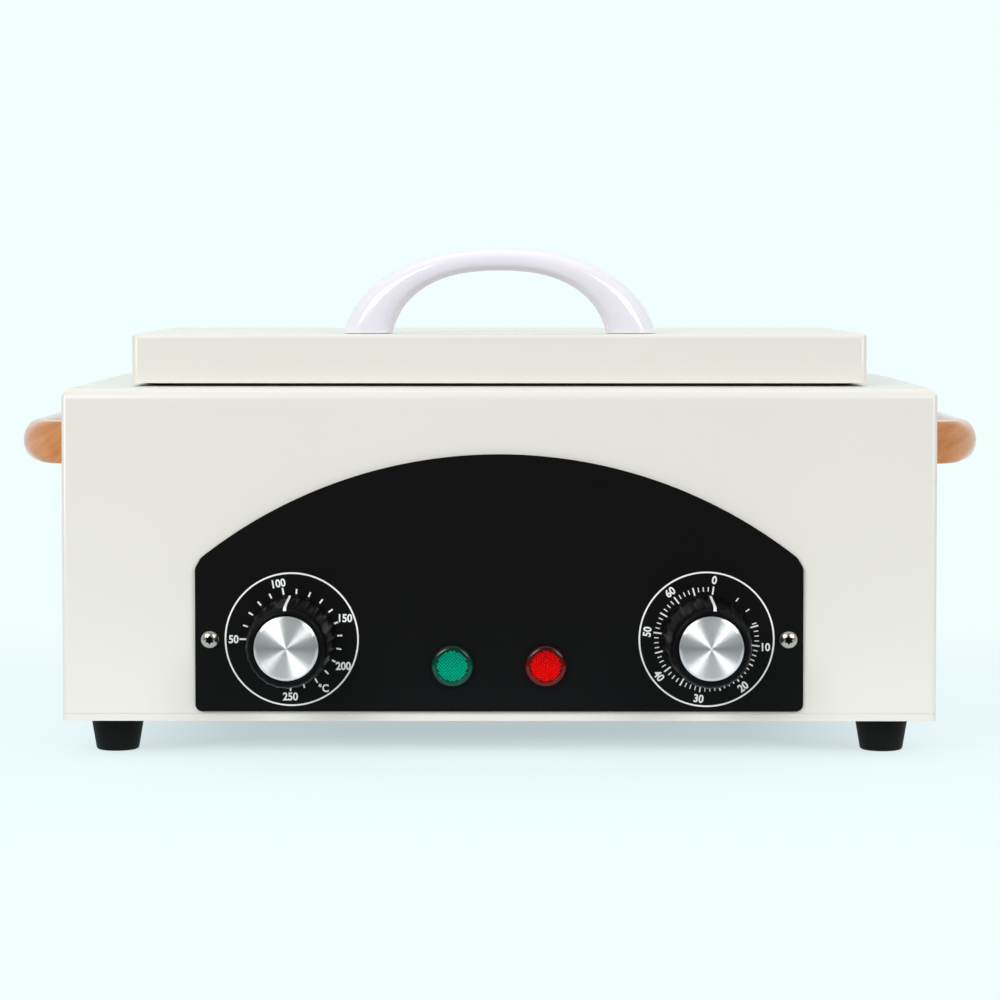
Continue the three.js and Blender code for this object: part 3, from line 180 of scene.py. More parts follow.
def arc(x, y, width, height, start, end, steps):
    """Points on an oval, from one angle in degrees to another: width and height are half its size."""
    turns = [radians(start + (end - start) * i / steps) for i in range(steps + 1)]
    return [(x + width * cos(turn), y + height * sin(turn)) for turn in turns]


def circle(radius, x, y, steps):
    return arc(x, y, radius, radius, 0, 360, steps)[:-1]


def rounded_rectangle(width, height, radius, x=0.0, y=0.0, steps=ARC_STEPS):
    side, rise = width / 2 - radius, height / 2 - radius
    points = []
    for start, sx, sy in ((0, 1, 1), (90, -1, 1), (180, -1, -1), (270, 1, -1)):
        points += arc(x + sx * side, y + sy * rise, radius, radius, start, start + 90, steps)
    return points


def softened(points, radius, closed=False, steps=4):
    """A polyline whose inner corners are rounded: points may have any number of parts."""
    made = []
    last = len(points) - 1
    for i, point in enumerate(points):
        if not closed and i in (0, last):
            made.append(tuple(point))
            continue
        ends = []
        for other in (points[i - 1], points[(i + 1) % len(points)]):
            length = math.dist(point, other)
            share = min(radius / length, 0.45) if length else 0
            ends.append([a + (b - a) * share for a, b in zip(point, other)])
        for t in [step / steps for step in range(steps + 1)]:
            parts = zip(ends[0], point, ends[1])
            made.append(tuple((1 - t) ** 2 * a + 2 * t * (1 - t) * p + t * t * b for a, p, b in parts))
    return made


def loft(rings, loop=False):
    """A surface through rings of points, closed at both ends or round on itself."""
    shape = bmesh.new()
    rows = [[shape.verts.new(point) for point in ring] for ring in rings]
    following = rows[1:] + rows[:1] if loop else rows[1:]
    for low, high in zip(rows, following):
        for i in range(len(low)):
            shape.faces.new((low[i - 1], low[i], high[i], high[i - 1]))
    if not loop:
        shape.faces.new(rows[0][::-1])
        shape.faces.new(rows[-1])
    return shape


def prism(outline, axis, start, end):
    """An outline drawn out along an axis."""
    return loft([lifted(outline, axis, level) for level in (start, end)])


def turned(profile, spot=(0, 0, 0), axis="Y", loop=False, steps=ROUND_STEPS):
    """A solid turned about a line through a spot: the profile's points are radius and level."""
    centre = flat(spot, axis)
    return loft([lifted(circle(radius, *centre, steps), axis, level) for radius, level in profile], loop)


def dish(profile, spot, loop=False):
    """Rounded rectangles lofted upwards: the profile's points are width, depth, corner radius and level."""
    least = 0.05
    rings = []
    for width, depth, radius, level in profile:
        rings.append(lifted(rounded_rectangle(width, depth, max(radius, least), spot.x, spot.y), "Z", level))
    return loft(rings, loop)


def new_object(name, data):
    obj = bpy.data.objects.new(name, data)
    bpy.context.scene.collection.objects.link(obj)
    return obj


def shade(obj, sharp=SHARP):
    mesh = obj.data
    mesh.polygons.foreach_set("use_smooth", [True] * len(mesh.polygons))
    mesh.set_sharp_from_angle(angle=radians(sharp))
    return obj


def piece(name, shape, material=None, sharp=SHARP):
    """Makes an object of a shape, with merged points, outward faces and its place in its mesh."""
    bmesh.ops.remove_doubles(shape, verts=shape.verts[:], dist=MERGE)
    bmesh.ops.dissolve_degenerate(shape, edges=shape.edges[:], dist=MERGE)
    bmesh.ops.recalc_face_normals(shape, faces=shape.faces[:])
    mesh = bpy.data.meshes.new(name)
    shape.to_mesh(mesh)
    shape.free()
    mesh.transform(Matrix.Scale(MM, 4))
    if material:
        mesh.materials.append(material)
    return shade(new_object(name, mesh), sharp)


def slab(name, size, axis, spot, start, end, material=None, steps=ARC_STEPS):
    """A plate across an axis: its size is width, height and corner radius, and the spot is its middle."""
    return piece(name, prism(rounded_rectangle(*size, *flat(spot, axis), steps), axis, start, end), material)


def bar(axis, radius, spot, start, end, steps=32):
    """A round cutter along an axis through a spot."""
    return piece("bar", prism(circle(radius, *flat(spot, axis), steps), axis, start, end))


def block(name, low, high, material=None):
    (x0, y0, z0), (x1, y1, z1) = low, high
    return piece(name, prism([(x0, y0), (x1, y0), (x1, y1), (x0, y1)], "Z", z0, z1), material)


def plain_mesh(obj):
    """The mesh that an object's modifiers or its text come to."""
    bpy.context.view_layer.update()
    graph = bpy.context.evaluated_depsgraph_get()
    kept = {"preserve_all_data_layers": True, "depsgraph": graph}
    return bpy.data.meshes.new_from_object(obj.evaluated_get(graph), **kept)


def settle(obj):
    """Turns an object's modifiers into its mesh."""
    mesh = plain_mesh(obj)
    obj.modifiers.clear()
    obj.data = mesh
    mesh.name = obj.name
    return obj


def discard(*objects):
    for obj in objects:
        bpy.data.objects.remove(obj)


def joined(name, objects):
    """One object of several that share a finish."""
    shape = bmesh.new()
    for obj in objects:
        shape.from_mesh(obj.data)
    material = objects[0].data.materials[0]
    discard(*objects)
    shape.transform(Matrix.Scale(1 / MM, 4))
    return piece(name, shape, material)


def carve(obj, cutters, operation="DIFFERENCE"):
    """Cuts the cutters out of an object, joins them to it or keeps what it shares with them."""
    for cutter in cutters:
        step = obj.modifiers.new("carve", "BOOLEAN")
        step.operation = operation
        step.solver = "EXACT"
        step.object = cutter
    settle(obj)
    discard(*cutters)
    return shade(obj)


def even_normals(obj, bevel=0.0):
    """Bevels the sharp edges if asked to, and keeps the shading of large flat faces flat."""
    if bevel:
        edge = obj.modifiers.new("bevel", "BEVEL")
        edge.width = bevel
        edge.segments = 3
        edge.limit_method = "ANGLE"
        edge.angle_limit = radians(SHARP)
        shade(settle(obj))
    level = obj.modifiers.new("even normals", "WEIGHTED_NORMAL")
    level.keep_sharp = True
    return settle(obj)


def put(obj, body, slot, *nodes):
    """Fastens a finished piece to its body and hides the CAD nodes that it stands in for."""
    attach(obj, body)
    if nodes:
        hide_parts(*nodes)


# Materials


def add(tree, kind, inputs=(), out=0, **settings):
    """Adds a node and gives one of its outputs: inputs are values or the sockets that feed them."""
    node = tree.nodes.new(kind)
    for key, value in settings.items():
        setattr(node, key, value)
    for key, value in dict(inputs).items():
        if isinstance(value, bpy.types.NodeSocket):
            tree.links.new(value, node.inputs[key])
        else:
            node.inputs[key].default_value = value
    return node.outputs[out] if node.outputs else None


def colour4(colour, level=1.0):
    return (*[c * level for c in colour], 1.0)


def blank_material(name):
    material = bpy.data.materials.new(name)
    material.use_nodes = True
    material.node_tree.nodes.clear()
    return material, material.node_tree


def pattern_place(tree, centre=(0, 0, 0), size=(1, 1, 1), lean=0.0):
    """Object coordinates from a centre in millimetres, leaned about Y by an angle and measured in sizes."""
    inputs = {
        "Vector": add(tree, "ShaderNodeTexCoord", out="Object"),
        "Location": [c * MM for c in centre],
        "Rotation": (0, radians(lean), 0),
        "Scale": size,
    }
    return add(tree, "ShaderNodeMapping", inputs, vector_type="TEXTURE")


def grain(tree, pitch, stretch=(1, 1, 1), detail=2.0, distortion=0.0, lean=0.0):
    """Noise from 0 to 1 whose grains are a pitch apart, in millimetres."""
    place = pattern_place(tree, size=[pitch * MM * s for s in stretch], lean=lean)
    inputs = {"Vector": place, "Scale": 1.0, "Detail": detail, "Distortion": distortion}
    return add(tree, "ShaderNodeMapRange", {0: add(tree, "ShaderNodeTexNoise", inputs), 1: 0.3, 2: 0.7})


# Each finish with what it gives the eye. rough is its roughness and spread how far the grain moves that,
# pitch and depth are the grain's width and relief in millimetres, and tint is how far its patches differ.
FINISHES = {
    # Semi-gloss coat on sheet steel: a faint orange peel breaks up its soft reflections
    "ivory enamel": dict(
        rough=0.35, spread=0.015, pitch=1.6, depth=0.0005, tint=0.006, Coat_Weight=0.2, Coat_Roughness=0.16
    ),
    # Satin coat on the panel: fine grain that spreads the highlights wide
    "satin black lacquer": dict(
        rough=0.42, spread=0.05, pitch=0.25, depth=0.0008, tint=0.06, Specular_IOR_Level=0.1
    ),
    # Screen-printed: matt, with slightly uneven cover
    "white printing ink": dict(rough=0.6, spread=0.05, pitch=0.3, depth=0.0012, tint=0.02),
    # Moulded knobs: clear highlights on the flutes, with faint polishing haze
    "glossy black phenolic": dict(
        rough=0.34, spread=0.03, pitch=0.8, depth=0.0004, tint=0.08, Specular_IOR_Level=0.07
    ),
    # Moulded feet: a matt skin with a fine bloom
    "black moulded rubber": dict(
        rough=0.58, spread=0.08, pitch=0.4, depth=0.0024, tint=0.25, Specular_IOR_Level=0.12
    ),
    # Moulded handle: a cool tint and some light under its surface
    "glossy white plastic": dict(
        rough=0.13, spread=0.03, pitch=3.0, depth=0.0012, tint=0.01, Coat_Weight=0.5, Coat_Roughness=0.04,
        Subsurface_Weight=0.15, Subsurface_Radius=(0.004, 0.004, 0.005), Subsurface_Scale=0.5
    ),
    # Moulded: a fine spark-eroded texture
    "black nylon": dict(code="#1b1c1e", rough=0.48, spread=0.06, pitch=0.35, depth=0.0024, tint=0.1),
    # Plated fasteners: small crystals and dulled patches
    "bright zinc plate": dict(
        code="#b6babd", rough=0.34, spread=0.1, pitch=0.9, depth=0.0012, tint=0.08, metal=1.0
    ),
    # Polished heads: nearly a mirror, with faint handling marks
    "polished stainless steel": dict(
        code="#bdb7af", rough=0.22, spread=0.05, pitch=0.5, depth=0.0004, tint=0.04, metal=1.0
    ),
    # Brushed sheet: long scratches along X, drawn coarser than real ones so that they show, spread the
    # highlights across
    "brushed stainless steel": dict(
        rough=0.3, spread=0.05, pitch=0.12, depth=0.0004, tint=0.02, metal=1.0, stretch=(60, 1, 1)
    ),
    # Moulded seal: matt, with a slightly waxy edge
    "black silicone": dict(
        code="#161616", rough=0.55, spread=0.06, pitch=0.6, depth=0.0016, tint=0.15, Sheen_Weight=0.15
    ),
    # Pressed board: coarse matt grain in a cream colour
    "mineral fibre board": dict(code="#d8d2c2", rough=0.95, spread=0.04, pitch=0.7, depth=0.06, tint=0.08),
    # Woven sleeve: a fine cream braid
    "woven glass sleeve": dict(code="#e9e4d4", rough=0.8, spread=0.05, pitch=0.35, depth=0.03, tint=0.06),
}


def grained(name, colour, rough, spread, pitch, depth, tint, metal=0.0, stretch=(1, 1, 1), **sockets):
    """A finish whose roughness, colour and relief vary with a fine grain."""
    material, tree = blank_material(name)
    fine = grain(tree, pitch, stretch)
    patches = grain(tree, 40 * pitch, detail=3.0)
    tones = {0: patches, 6: colour4(colour, 1 - tint), 7: colour4(colour, 1 + tint)}
    rough_range = {0: fine, 3: max(rough - spread, 0.02), 4: rough + spread}
    inputs = {
        "Base Color": add(tree, "ShaderNodeMix", tones, 2, data_type="RGBA"),
        "Roughness": add(tree, "ShaderNodeMapRange", rough_range),
        "Metallic": metal,
        "Normal": add(tree, "ShaderNodeBump", {"Height": fine, "Distance": depth * MM}),
    }
    inputs.update({key.replace("_", " "): value for key, value in sockets.items()})
    add(tree, "ShaderNodeOutputMaterial", {"Surface": add(tree, "ShaderNodeBsdfPrincipled", inputs)})
    return material


@once
def finish(name, colour=None):
    """A listed finish, in a colour of the settings or in its own."""
    values = dict(FINISHES[name])
    own = values.pop("code", None)
    return grained(name, linear(own) if own else colour, **values)


def stainless():
    return finish("brushed stainless steel", bpy.context.scene.sterilizer_chamber.steel)


def lacquered_wood(light, dark):
    """Reddish hardwood under clear gloss: streaks and pores run along the handle beneath a smooth coat."""
    material, tree = blank_material("lacquered hardwood")
    lean, relief = -32.0, 0.0016 * MM
    bands = grain(tree, 2.6, (7, 20, 1), 4.0, 0.5, lean)
    streaks = grain(tree, 0.5, (8, 30, 1), 3.0, 0.2, lean)
    pores = grain(tree, 0.3, (2, 14, 1), 1.0, 0.0, lean)
    wood = add(tree, "ShaderNodeMix", {0: bands, 6: colour4(dark), 7: colour4(light)}, 2, data_type="RGBA")
    for pattern, reach, most, tone in ((streaks, 1.0, 0.3, "#b5703f"), (pores, 0.25, 0.18, "#6b3417")):
        share = add(tree, "ShaderNodeMapRange", {0: pattern, 2: reach, 3: most, 4: 0.0})
        tones = {0: share, 6: wood, 7: colour4(linear(tone))}
        wood = add(tree, "ShaderNodeMix", tones, 2, data_type="RGBA")
    inputs = {
        "Base Color": wood,
        "Roughness": add(tree, "ShaderNodeMapRange", {0: streaks, 3: 0.28, 4: 0.42}),
        "Normal": add(tree, "ShaderNodeBump", {"Height": streaks, "Distance": relief}),
        "Specular IOR Level": 0.3,
        "Coat Weight": 0.75,
        "Coat Roughness": 0.08,
        "Coat Normal": add(tree, "ShaderNodeBump", {"Height": bands, "Distance": relief}),
    }
    add(tree, "ShaderNodeOutputMaterial", {"Surface": add(tree, "ShaderNodeBsdfPrincipled", inputs)})
    return material


def spun_aluminium(name, colour, centre):
    """Aluminium faced on a lathe: circular lines draw the highlights out into rays from the centre.

    The lines are drawn further apart than real ones, so that they show.
    """
    material, tree = blank_material(name)
    pitch, dull = 0.18, 0.93
    level = {0: pattern_place(tree, centre), 1: (1, 0, 1)}
    away = add(tree, "ShaderNodeVectorMath", level, operation="MULTIPLY")
    kinds = {"vector_type": "VECTOR", "convert_from": "OBJECT", "convert_to": "WORLD"}
    reach = add(tree, "ShaderNodeVectorMath", {0: away}, "Value", operation="LENGTH")
    noise = {"W": reach, "Scale": 1 / (pitch * MM), "Detail": 3.0}
    noise = add(tree, "ShaderNodeTexNoise", noise, noise_dimensions="1D")
    lines = add(tree, "ShaderNodeMapRange", {0: noise, 1: 0.3, 2: 0.7})
    tones = {0: lines, 6: colour4(colour, dull), 7: colour4(colour)}
    inputs = {
        "Base Color": add(tree, "ShaderNodeMix", tones, 2, data_type="RGBA"),
        "Metallic": 1.0,
        "Roughness": add(tree, "ShaderNodeMapRange", {0: lines, 3: 0.31, 4: 0.37}),
        "Anisotropic": 1.0,
        "Tangent": add(tree, "ShaderNodeVectorTransform", {"Vector": away}, **kinds),
        "Normal": add(tree, "ShaderNodeBump", {"Height": lines, "Distance": 0.0008 * MM}),
    }
    add(tree, "ShaderNodeOutputMaterial", {"Surface": add(tree, "ShaderNodeBsdfPrincipled", inputs)})
    return material


def lens_plastic_painted_light(name, colour, centre, radius, low, high):
    """Transparent coloured lens with painted light: its colour is painted lighter towards the bottom as a glow,
    and darker towards the top as shade.
    """
    material, tree = blank_material(name)
    rise = add(tree, "ShaderNodeSeparateXYZ", {0: pattern_place(tree, centre)}, "Z")
    # Painted glow and shade: the colour's level follows the height across the lens, from the low level at the
    # bottom to the high one at the top
    height = add(tree, "ShaderNodeMapRange", {0: rise, 1: -0.4 * radius * MM, 2: radius * MM})
    speckle = grain(tree, 0.6)
    share = add(tree, "ShaderNodeMath", {0: speckle, 1: 0.1, 2: height}, operation="MULTIPLY_ADD")
    share = add(tree, "ShaderNodeMapRange", {0: share, 1: 0.3, 2: 0.7})
    tones = {0: share, 6: colour4(colour, low), 7: colour4(colour, high)}
    inputs = {
        "Base Color": add(tree, "ShaderNodeMix", tones, 2, data_type="RGBA"),
        "Roughness": 0.2,
        "Specular IOR Level": 0.1,
        "Coat Weight": 0.45,
        "Coat Roughness": 0.03,
        "Normal": add(tree, "ShaderNodeBump", {"Height": speckle, "Distance": 0.0016 * MM}),
    }
    add(tree, "ShaderNodeOutputMaterial", {"Surface": add(tree, "ShaderNodeBsdfPrincipled", inputs)})
    return material


# Geometry node trees


def geometry_tree(name, inputs):
    """A tree with a geometry socket at each end and named inputs."""
    tree = bpy.data.node_groups.new(name, "GeometryNodeTree")
    tree.interface.new_socket("Geometry", in_out="OUTPUT", socket_type="NodeSocketGeometry")
    for label, kind in {"Geometry": "Geometry", **inputs, "Material": "Material"}.items():
        tree.interface.new_socket(label, in_out="INPUT", socket_type="NodeSocket" + kind)
    return tree, add(tree, "NodeGroupInput").node.outputs


def close_tree(tree, instances, given):
    solid = add(tree, "GeometryNodeRealizeInstances", {"Geometry": instances})
    painted = add(tree, "GeometryNodeSetMaterial", {"Geometry": solid, "Material": given["Material"]})
    add(tree, "NodeGroupOutput", {"Geometry": painted})
    return tree


def run_tree(tree, name, material, values, mesh=None):
    """Runs a tree on a new object, or on a given mesh, and returns its plain mesh."""
    obj = new_object(name, mesh or bpy.data.meshes.new(name))
    step = obj.modifiers.new(tree.name, "NODES")
    step.node_group = tree
    values = {**values, "Material": material}
    for item in tree.interface.items_tree:
        if item.in_out == "INPUT" and item.name in values:
            step[item.identifier] = values[item.name]
    return shade(settle(obj))


@once
def row_tree():
    """Copies of the given mesh, set along a line."""
    kinds = {"Count": "Int", "Start": "Vector", "Offset": "Vector"}
    tree, given = geometry_tree("Row of Copies", kinds)
    inputs = {"Count": given["Count"], "Start Location": given["Start"], "Offset": given["Offset"]}
    line = add(tree, "GeometryNodeMeshLine", inputs, mode="OFFSET")
    copies = add(tree, "GeometryNodeInstanceOnPoints", {"Points": line, "Instance": given["Geometry"]})
    return close_tree(tree, copies, given)


@once
def tick_tree():
    """Marks round a dial: bars that point at its centre, from one angle on in equal steps."""
    kinds = {"Count": "Int", "First Angle": "Float", "Step": "Float", "Radius": "Float"}
    tree, given = geometry_tree("Dial Marks", {**kinds, "Size": "Vector", "Centre": "Vector"})
    inputs = {0: add(tree, "GeometryNodeInputIndex"), 1: given["Step"], 2: given["First Angle"]}
    angle = add(tree, "ShaderNodeMath", inputs, operation="MULTIPLY_ADD")
    parts = {}
    for part, kind in (("X", "SINE"), ("Z", "COSINE")):
        wave = add(tree, "ShaderNodeMath", {0: angle}, operation=kind)
        parts[part] = add(tree, "ShaderNodeMath", {0: wave, 1: given["Radius"]}, operation="MULTIPLY")
    inputs = {0: add(tree, "ShaderNodeCombineXYZ", parts), 1: given["Centre"]}
    place = add(tree, "ShaderNodeVectorMath", inputs, operation="ADD")
    line = add(tree, "GeometryNodeMeshLine", {"Count": given["Count"]}, mode="OFFSET")
    ring = add(tree, "GeometryNodeSetPosition", {"Geometry": line, "Position": place})
    mark = add(tree, "GeometryNodeMeshCube", {"Size": given["Size"]})
    turn = add(tree, "FunctionNodeEulerToRotation", {0: add(tree, "ShaderNodeCombineXYZ", {"Y": angle})})
    inputs = {"Points": ring, "Instance": mark, "Rotation": turn}
    return close_tree(tree, add(tree, "GeometryNodeInstanceOnPoints", inputs), given)


@once
def diamond_tree():
    """Small pyramids on a diagonal grid inside a circle, all facing -Y."""
    kinds = {"Count": "Int", "Pitch": "Float", "Radius": "Float", "Height": "Float", "Centre": "Vector"}
    tree, given = geometry_tree("Lens Diamonds", kinds)
    gaps = add(tree, "ShaderNodeMath", {0: given["Count"], 1: 1.0}, operation="SUBTRACT")
    size = add(tree, "ShaderNodeMath", {0: gaps, 1: given["Pitch"]}, operation="MULTIPLY")
    inputs = {"Size X": size, "Size Y": size, "Vertices X": given["Count"], "Vertices Y": given["Count"]}
    grid = add(tree, "GeometryNodeMeshGrid", inputs)
    inputs = {"Geometry": grid, "Translation": given["Centre"], "Rotation": Euler((pi / 2, pi / 4, 0))}
    face = add(tree, "GeometryNodeTransform", inputs)
    inputs = {0: add(tree, "GeometryNodeInputPosition"), 1: given["Centre"]}
    away = add(tree, "ShaderNodeVectorMath", inputs, "Value", operation="DISTANCE")
    outside = add(tree, "ShaderNodeMath", {0: away, 1: given["Radius"]}, operation="GREATER_THAN")
    kept = add(tree, "GeometryNodeDeleteGeometry", {"Geometry": face, "Selection": outside})
    foot = add(tree, "ShaderNodeMath", {0: given["Pitch"], 1: 0.66}, operation="MULTIPLY")
    inputs = {"Vertices": 4, "Radius Top": 0.0, "Radius Bottom": foot, "Depth": given["Height"]}
    point = add(tree, "GeometryNodeMeshCone", inputs)
    inputs = {"Points": kept, "Instance": point, "Rotation": Euler((pi / 2, 0, 0))}
    return close_tree(tree, add(tree, "GeometryNodeInstanceOnPoints", inputs), given)


def row(name, source, count, start, offset):
    """Copies of an object along a line, in place of the object."""
    material = source.data.materials[0] if source.data.materials else None
    values = {"Count": count, "Start": Vector(start) * MM, "Offset": Vector(offset) * MM}
    made = run_tree(row_tree(), name, material, values, source.data)
    discard(source)
    return made


# Screws


# Radius and height of the head, radius and length of the shank, and the way that the head faces
SCREWS = {
    "foot_screw": (4.0, 2.6, 2.0, 12.0, "down"),
    "panel_screw": (3.25, 2.2, 1.75, 9.0, "front"),
    "inlet_screw": (3.2, 1.8, 1.6, 8.0, "back"),
}

AIMS = {
    "front": Matrix.Rotation(pi / 2, 4, "X"),
    "back": Matrix.Rotation(-pi / 2, 4, "X"),
    "down": Matrix.Rotation(pi, 4, "X"),
}


def six_lobes(radius, steps=72):
    """Outline of a six-lobed recess."""
    points = []
    for angle in [2 * pi * i / steps for i in range(steps)]:
        reach = radius * (0.83 + 0.17 * cos(6 * (angle - pi / 2)))
        points.append((reach * cos(angle), reach * sin(angle)))
    return points


def screw(name, kind, material, spot, count=1, offset=(0, 0, 0)):
    """Domed screw with a six-lobed recess, and its seat at the given spot."""
    radius, height, shank, length, aim = SCREWS[kind]
    dome = [(radius * sin(a), height * cos(a) ** 0.8) for a in [pi / 2 * i / 10 for i in range(10)]]
    profile = [*dome, (radius, 0.0), (shank, 0.0), (shank, -length), (0.0, -length)]
    head = piece(name, turned(profile, axis="Z", steps=64), material)
    recess = piece("recess", prism(six_lobes(radius * 0.47), "Z", -0.3 * height, height * 2))
    carve(head, [recess])
    head.data.transform(AIMS[aim])
    return even_normals(row(name, head, count, spot, offset))


def screw_pair(kind, seat, finish_name, slot):
    """The left and the right screw of a kind, with their seats at a level along Y."""
    left, right = middle(kind + "_left"), middle(kind + "_right")
    spot, apart = (left.x, seat, left.z), (right.x - left.x, 0, 0)
    heads = screw(kind + "_heads", kind, finish(finish_name), spot, 2, apart)
    put(heads, "cabinet", slot, kind + "_left", kind + "_right")


# Folded sheet: the case and the lid


# Width, height and corner radius of the openings, and the places of the cooling slots
WELL, INLET_OPENING, COOLING_SLOT = (224.2, 112.2, 11.1), (28.2, 20.6, 3.0), (3.0, 26.0, 1.2)
SLOT_PITCH, SLOTS_X, SLOTS_Z = 8.0, -62.0, 36.0
# Radius of the holes behind the panel and behind the handles' screws
PANEL_HOLES = {"thermostat_nut": 5.0, "timer_nut": 5.0, "green_lamp_lens": 6.1, "red_lamp_lens": 6.1}
HANDLE_HOLE = 2.3
# Groove of the fold line: how far its rings stand past the case, their corner radius and their level
FOLD_LINE = [(4.0, 3.0, 2.0), (-0.4, 2.0, 2.3), (-0.4, 2.0, 2.6), (4.0, 3.0, 2.9)]
# Radius and level round a foot, and the level of its screw's seat
FOOT = [(2.3, 6.0), (4.6, 6.0), (4.6, 0.0), (7.3, 0.0), (9.3, 11.8), (2.3, 11.8)]
FOOT_SEAT = 5.8


def folded_box(name, spans, corner, edge, material=None):
    """Shape common to a plan with round corners and two elevations with round tops."""
    (x0, x1), (y0, y1), (z0, z1) = spans
    width, depth, below = x1 - x0, y1 - y0, 2 * (z1 - z0)
    centre = ((x0 + x1) / 2, (y0 + y1) / 2, z1 - below / 2)
    plan = slab(name, (width, depth, corner), "Z", centre, z0, z1, material)
    across = ((width, "Y"), (depth, "X"))
    cutters = [slab("elevation", (size, below, edge), axis, centre, -FAR, FAR) for size, axis in across]
    return carve(plan, cutters, "INTERSECT")


def folded_shell(name, node, settings, edge, openings):
    spans = span(node)
    sheet, corner, edge = settings.sheet / MM, settings.corner / MM, edge / MM
    shell = folded_box(name, spans, corner, edge, finish("ivory enamel", settings.enamel))
    (x0, x1), (y0, y1), (z0, z1) = spans
    room = [(x0 + sheet, x1 - sheet), (y0 + sheet, y1 - sheet), (z0 - 5, z1 - sheet)]
    inside = folded_box("inside", room, corner - sheet, max(edge - sheet, 0.3))
    return even_normals(carve(shell, [inside, *openings]))


def panel_holes(start, end):
    return [bar("Y", radius, middle(node), start, end) for node, radius in PANEL_HOLES.items()]


def case_openings(vents):
    """The well for the chamber, the holes behind the panel and the handles, and the openings in the back."""
    (left, right), (front, back), (_, top) = span("cabinet_shell")
    cutters = [slab("well", WELL, "Z", middle("chamber_tub"), top - CUT, top + CUT)]
    cutters += panel_holes(front - CUT, front + CUT)
    for end in ("front", "rear"):
        spot = middle("side_handle_screw_left_" + end)
        cutters.append(bar("X", HANDLE_HOLE, spot, left - CUT, right + CUT))
    cutters.append(slab("inlet opening", INLET_OPENING, "Y", middle("power_inlet"), back - CUT, back + CUT))
    slot = slab("slot", COOLING_SLOT, "Y", (0, 0, 0), back - CUT, back + CUT)
    first = SLOTS_X - SLOT_PITCH * (vents - 1) / 2
    return cutters + [row("cooling slots", slot, vents, (first, 0, SLOTS_Z), (SLOT_PITCH, 0, 0))]


class STERILIZER_OT_case(bpy.types.Operator):
    """Case of folded and enamelled sheet, with the fold line near its lower edge"""

    bl_idname = "sterilizer.case"
    bl_label = "Case"

    def execute(self, context):
        settings = context.scene.sterilizer_case
        (x0, x1), (y0, y1), (z0, _) = span("cabinet_shell")
        rings = [(x1 - x0 + out, y1 - y0 + out, radius, z0 + level) for out, radius, level in FOLD_LINE]
        openings = case_openings(settings.vents)
        openings.append(piece("fold line", dish(rings, middle("cabinet_shell"), True)))
        shell = folded_shell("cabinet_case", "cabinet_shell", settings, settings.case_edge, openings)
        put(shell, "cabinet", "ivory_enamel", "cabinet_shell")
        return {"FINISHED"}


class STERILIZER_OT_feet(bpy.types.Operator):
    """Four tapered rubber feet, each with a screw in its recess"""

    bl_idname = "sterilizer.feet"
    bl_label = "Feet"

    def execute(self, context):
        rubber = finish("black moulded rubber", context.scene.sterilizer_case.feet)
        for corner in ("front_left", "front_right", "rear_left", "rear_right"):
            node, fastener = "foot_" + corner, "foot_screw_" + corner
            shape = turned(softened(FOOT, 0.9, True), middle(node), "Z", True)
            put(piece(node + "_rubber", shape, rubber), "cabinet", "foot_rubber", node)
            seat = (*middle(fastener).xy, FOOT_SEAT)
            head = screw(fastener + "_head", "foot_screw", finish("bright zinc plate"), seat)
            put(head, "cabinet", "zinc_plate", fastener)
        return {"FINISHED"}


# Control panel


# Height of the panel's straight sides, radius of its lower corners, and how far its sides stop short of
# where they would meet the arch
SHOULDER, PANEL_CORNER, SHORT_OF_ARCH = 51.2, 2.4, 2.0
SEAT_IN = 0.05  # how far screws and lamps sink into what they press on

# How far marks and numbers stand proud of the panel
PROUD, NUMERAL_PROUD = 0.06, 0.03
# A number's depth and the thickening of its outline, both in units of the font, and how much it is narrowed
NUMERAL_DEPTH, NUMERAL_STROKE, NUMERAL_WIDTH = 0.01, 0.028, 0.92

# Marks: where they start and end from the dial's centre, and how thick they are
HOT_LONG, HOT_SHORT, HOT_CLOSE = (15.5, 17.9, 0.62), (15.6, 17.35, 0.55), (15.5, 16.9, 0.62)
TIME_LONG, TIME_SHORT = (15.5, 18.3, 0.52), (16.4, 17.95, 0.36)
TEN = 15.97  # turn of the thermostat for ten of its degrees
FIFTY = 270.0  # where its scale starts

# For each dial, the ring's radius, runs of marks (first angle, step, count and the mark) and labels (text,
# angle, how far it's turned clockwise, and distance from the centre). Angles are in degrees from the top
SCALES = {
    "thermostat": (
        22.7,
        [(FIFTY, 5 * TEN, 2, HOT_LONG), (FIFTY + 10 * TEN, 3 * TEN, 2, HOT_CLOSE)]
        + [(FIFTY + 17 * TEN, TEN, 1, HOT_LONG)]
        + [(FIFTY + i * TEN, TEN, count, HOT_SHORT) for i, count in ((1, 4), (6, 4), (11, 2), (14, 3))],
        [("50", 270, 0, 19.9), ("100", 347.1, -10, 19.7), ("150", 68.5, 0, 19.8), ("200", 117.6, 0, 19.9)]
        + [("°C", 147, 0, 20.0), ("250", 181.5, 0, 19.7)],
    ),
    "timer": (
        23.0,
        [(74.9, 22.5, 14, TIME_LONG), (37.5, 17.05, 3, TIME_SHORT)]
        + [(74.9 + 5.625 * i, 22.5, 13, TIME_SHORT) for i in (1, 2, 3)],
        [("0", 7.4, 7.4, 20.5), ("10", 97.4, 0, 20.5), ("20", 142.4, -37.6, 20.5), ("30", 187.4, 7.4, 20.5)]
        + [("40", 232.4, 52.4, 20.5), ("50", 277.4, -82.6, 20.5), ("60", 322.4, -37.6, 20.5)],
    ),
}


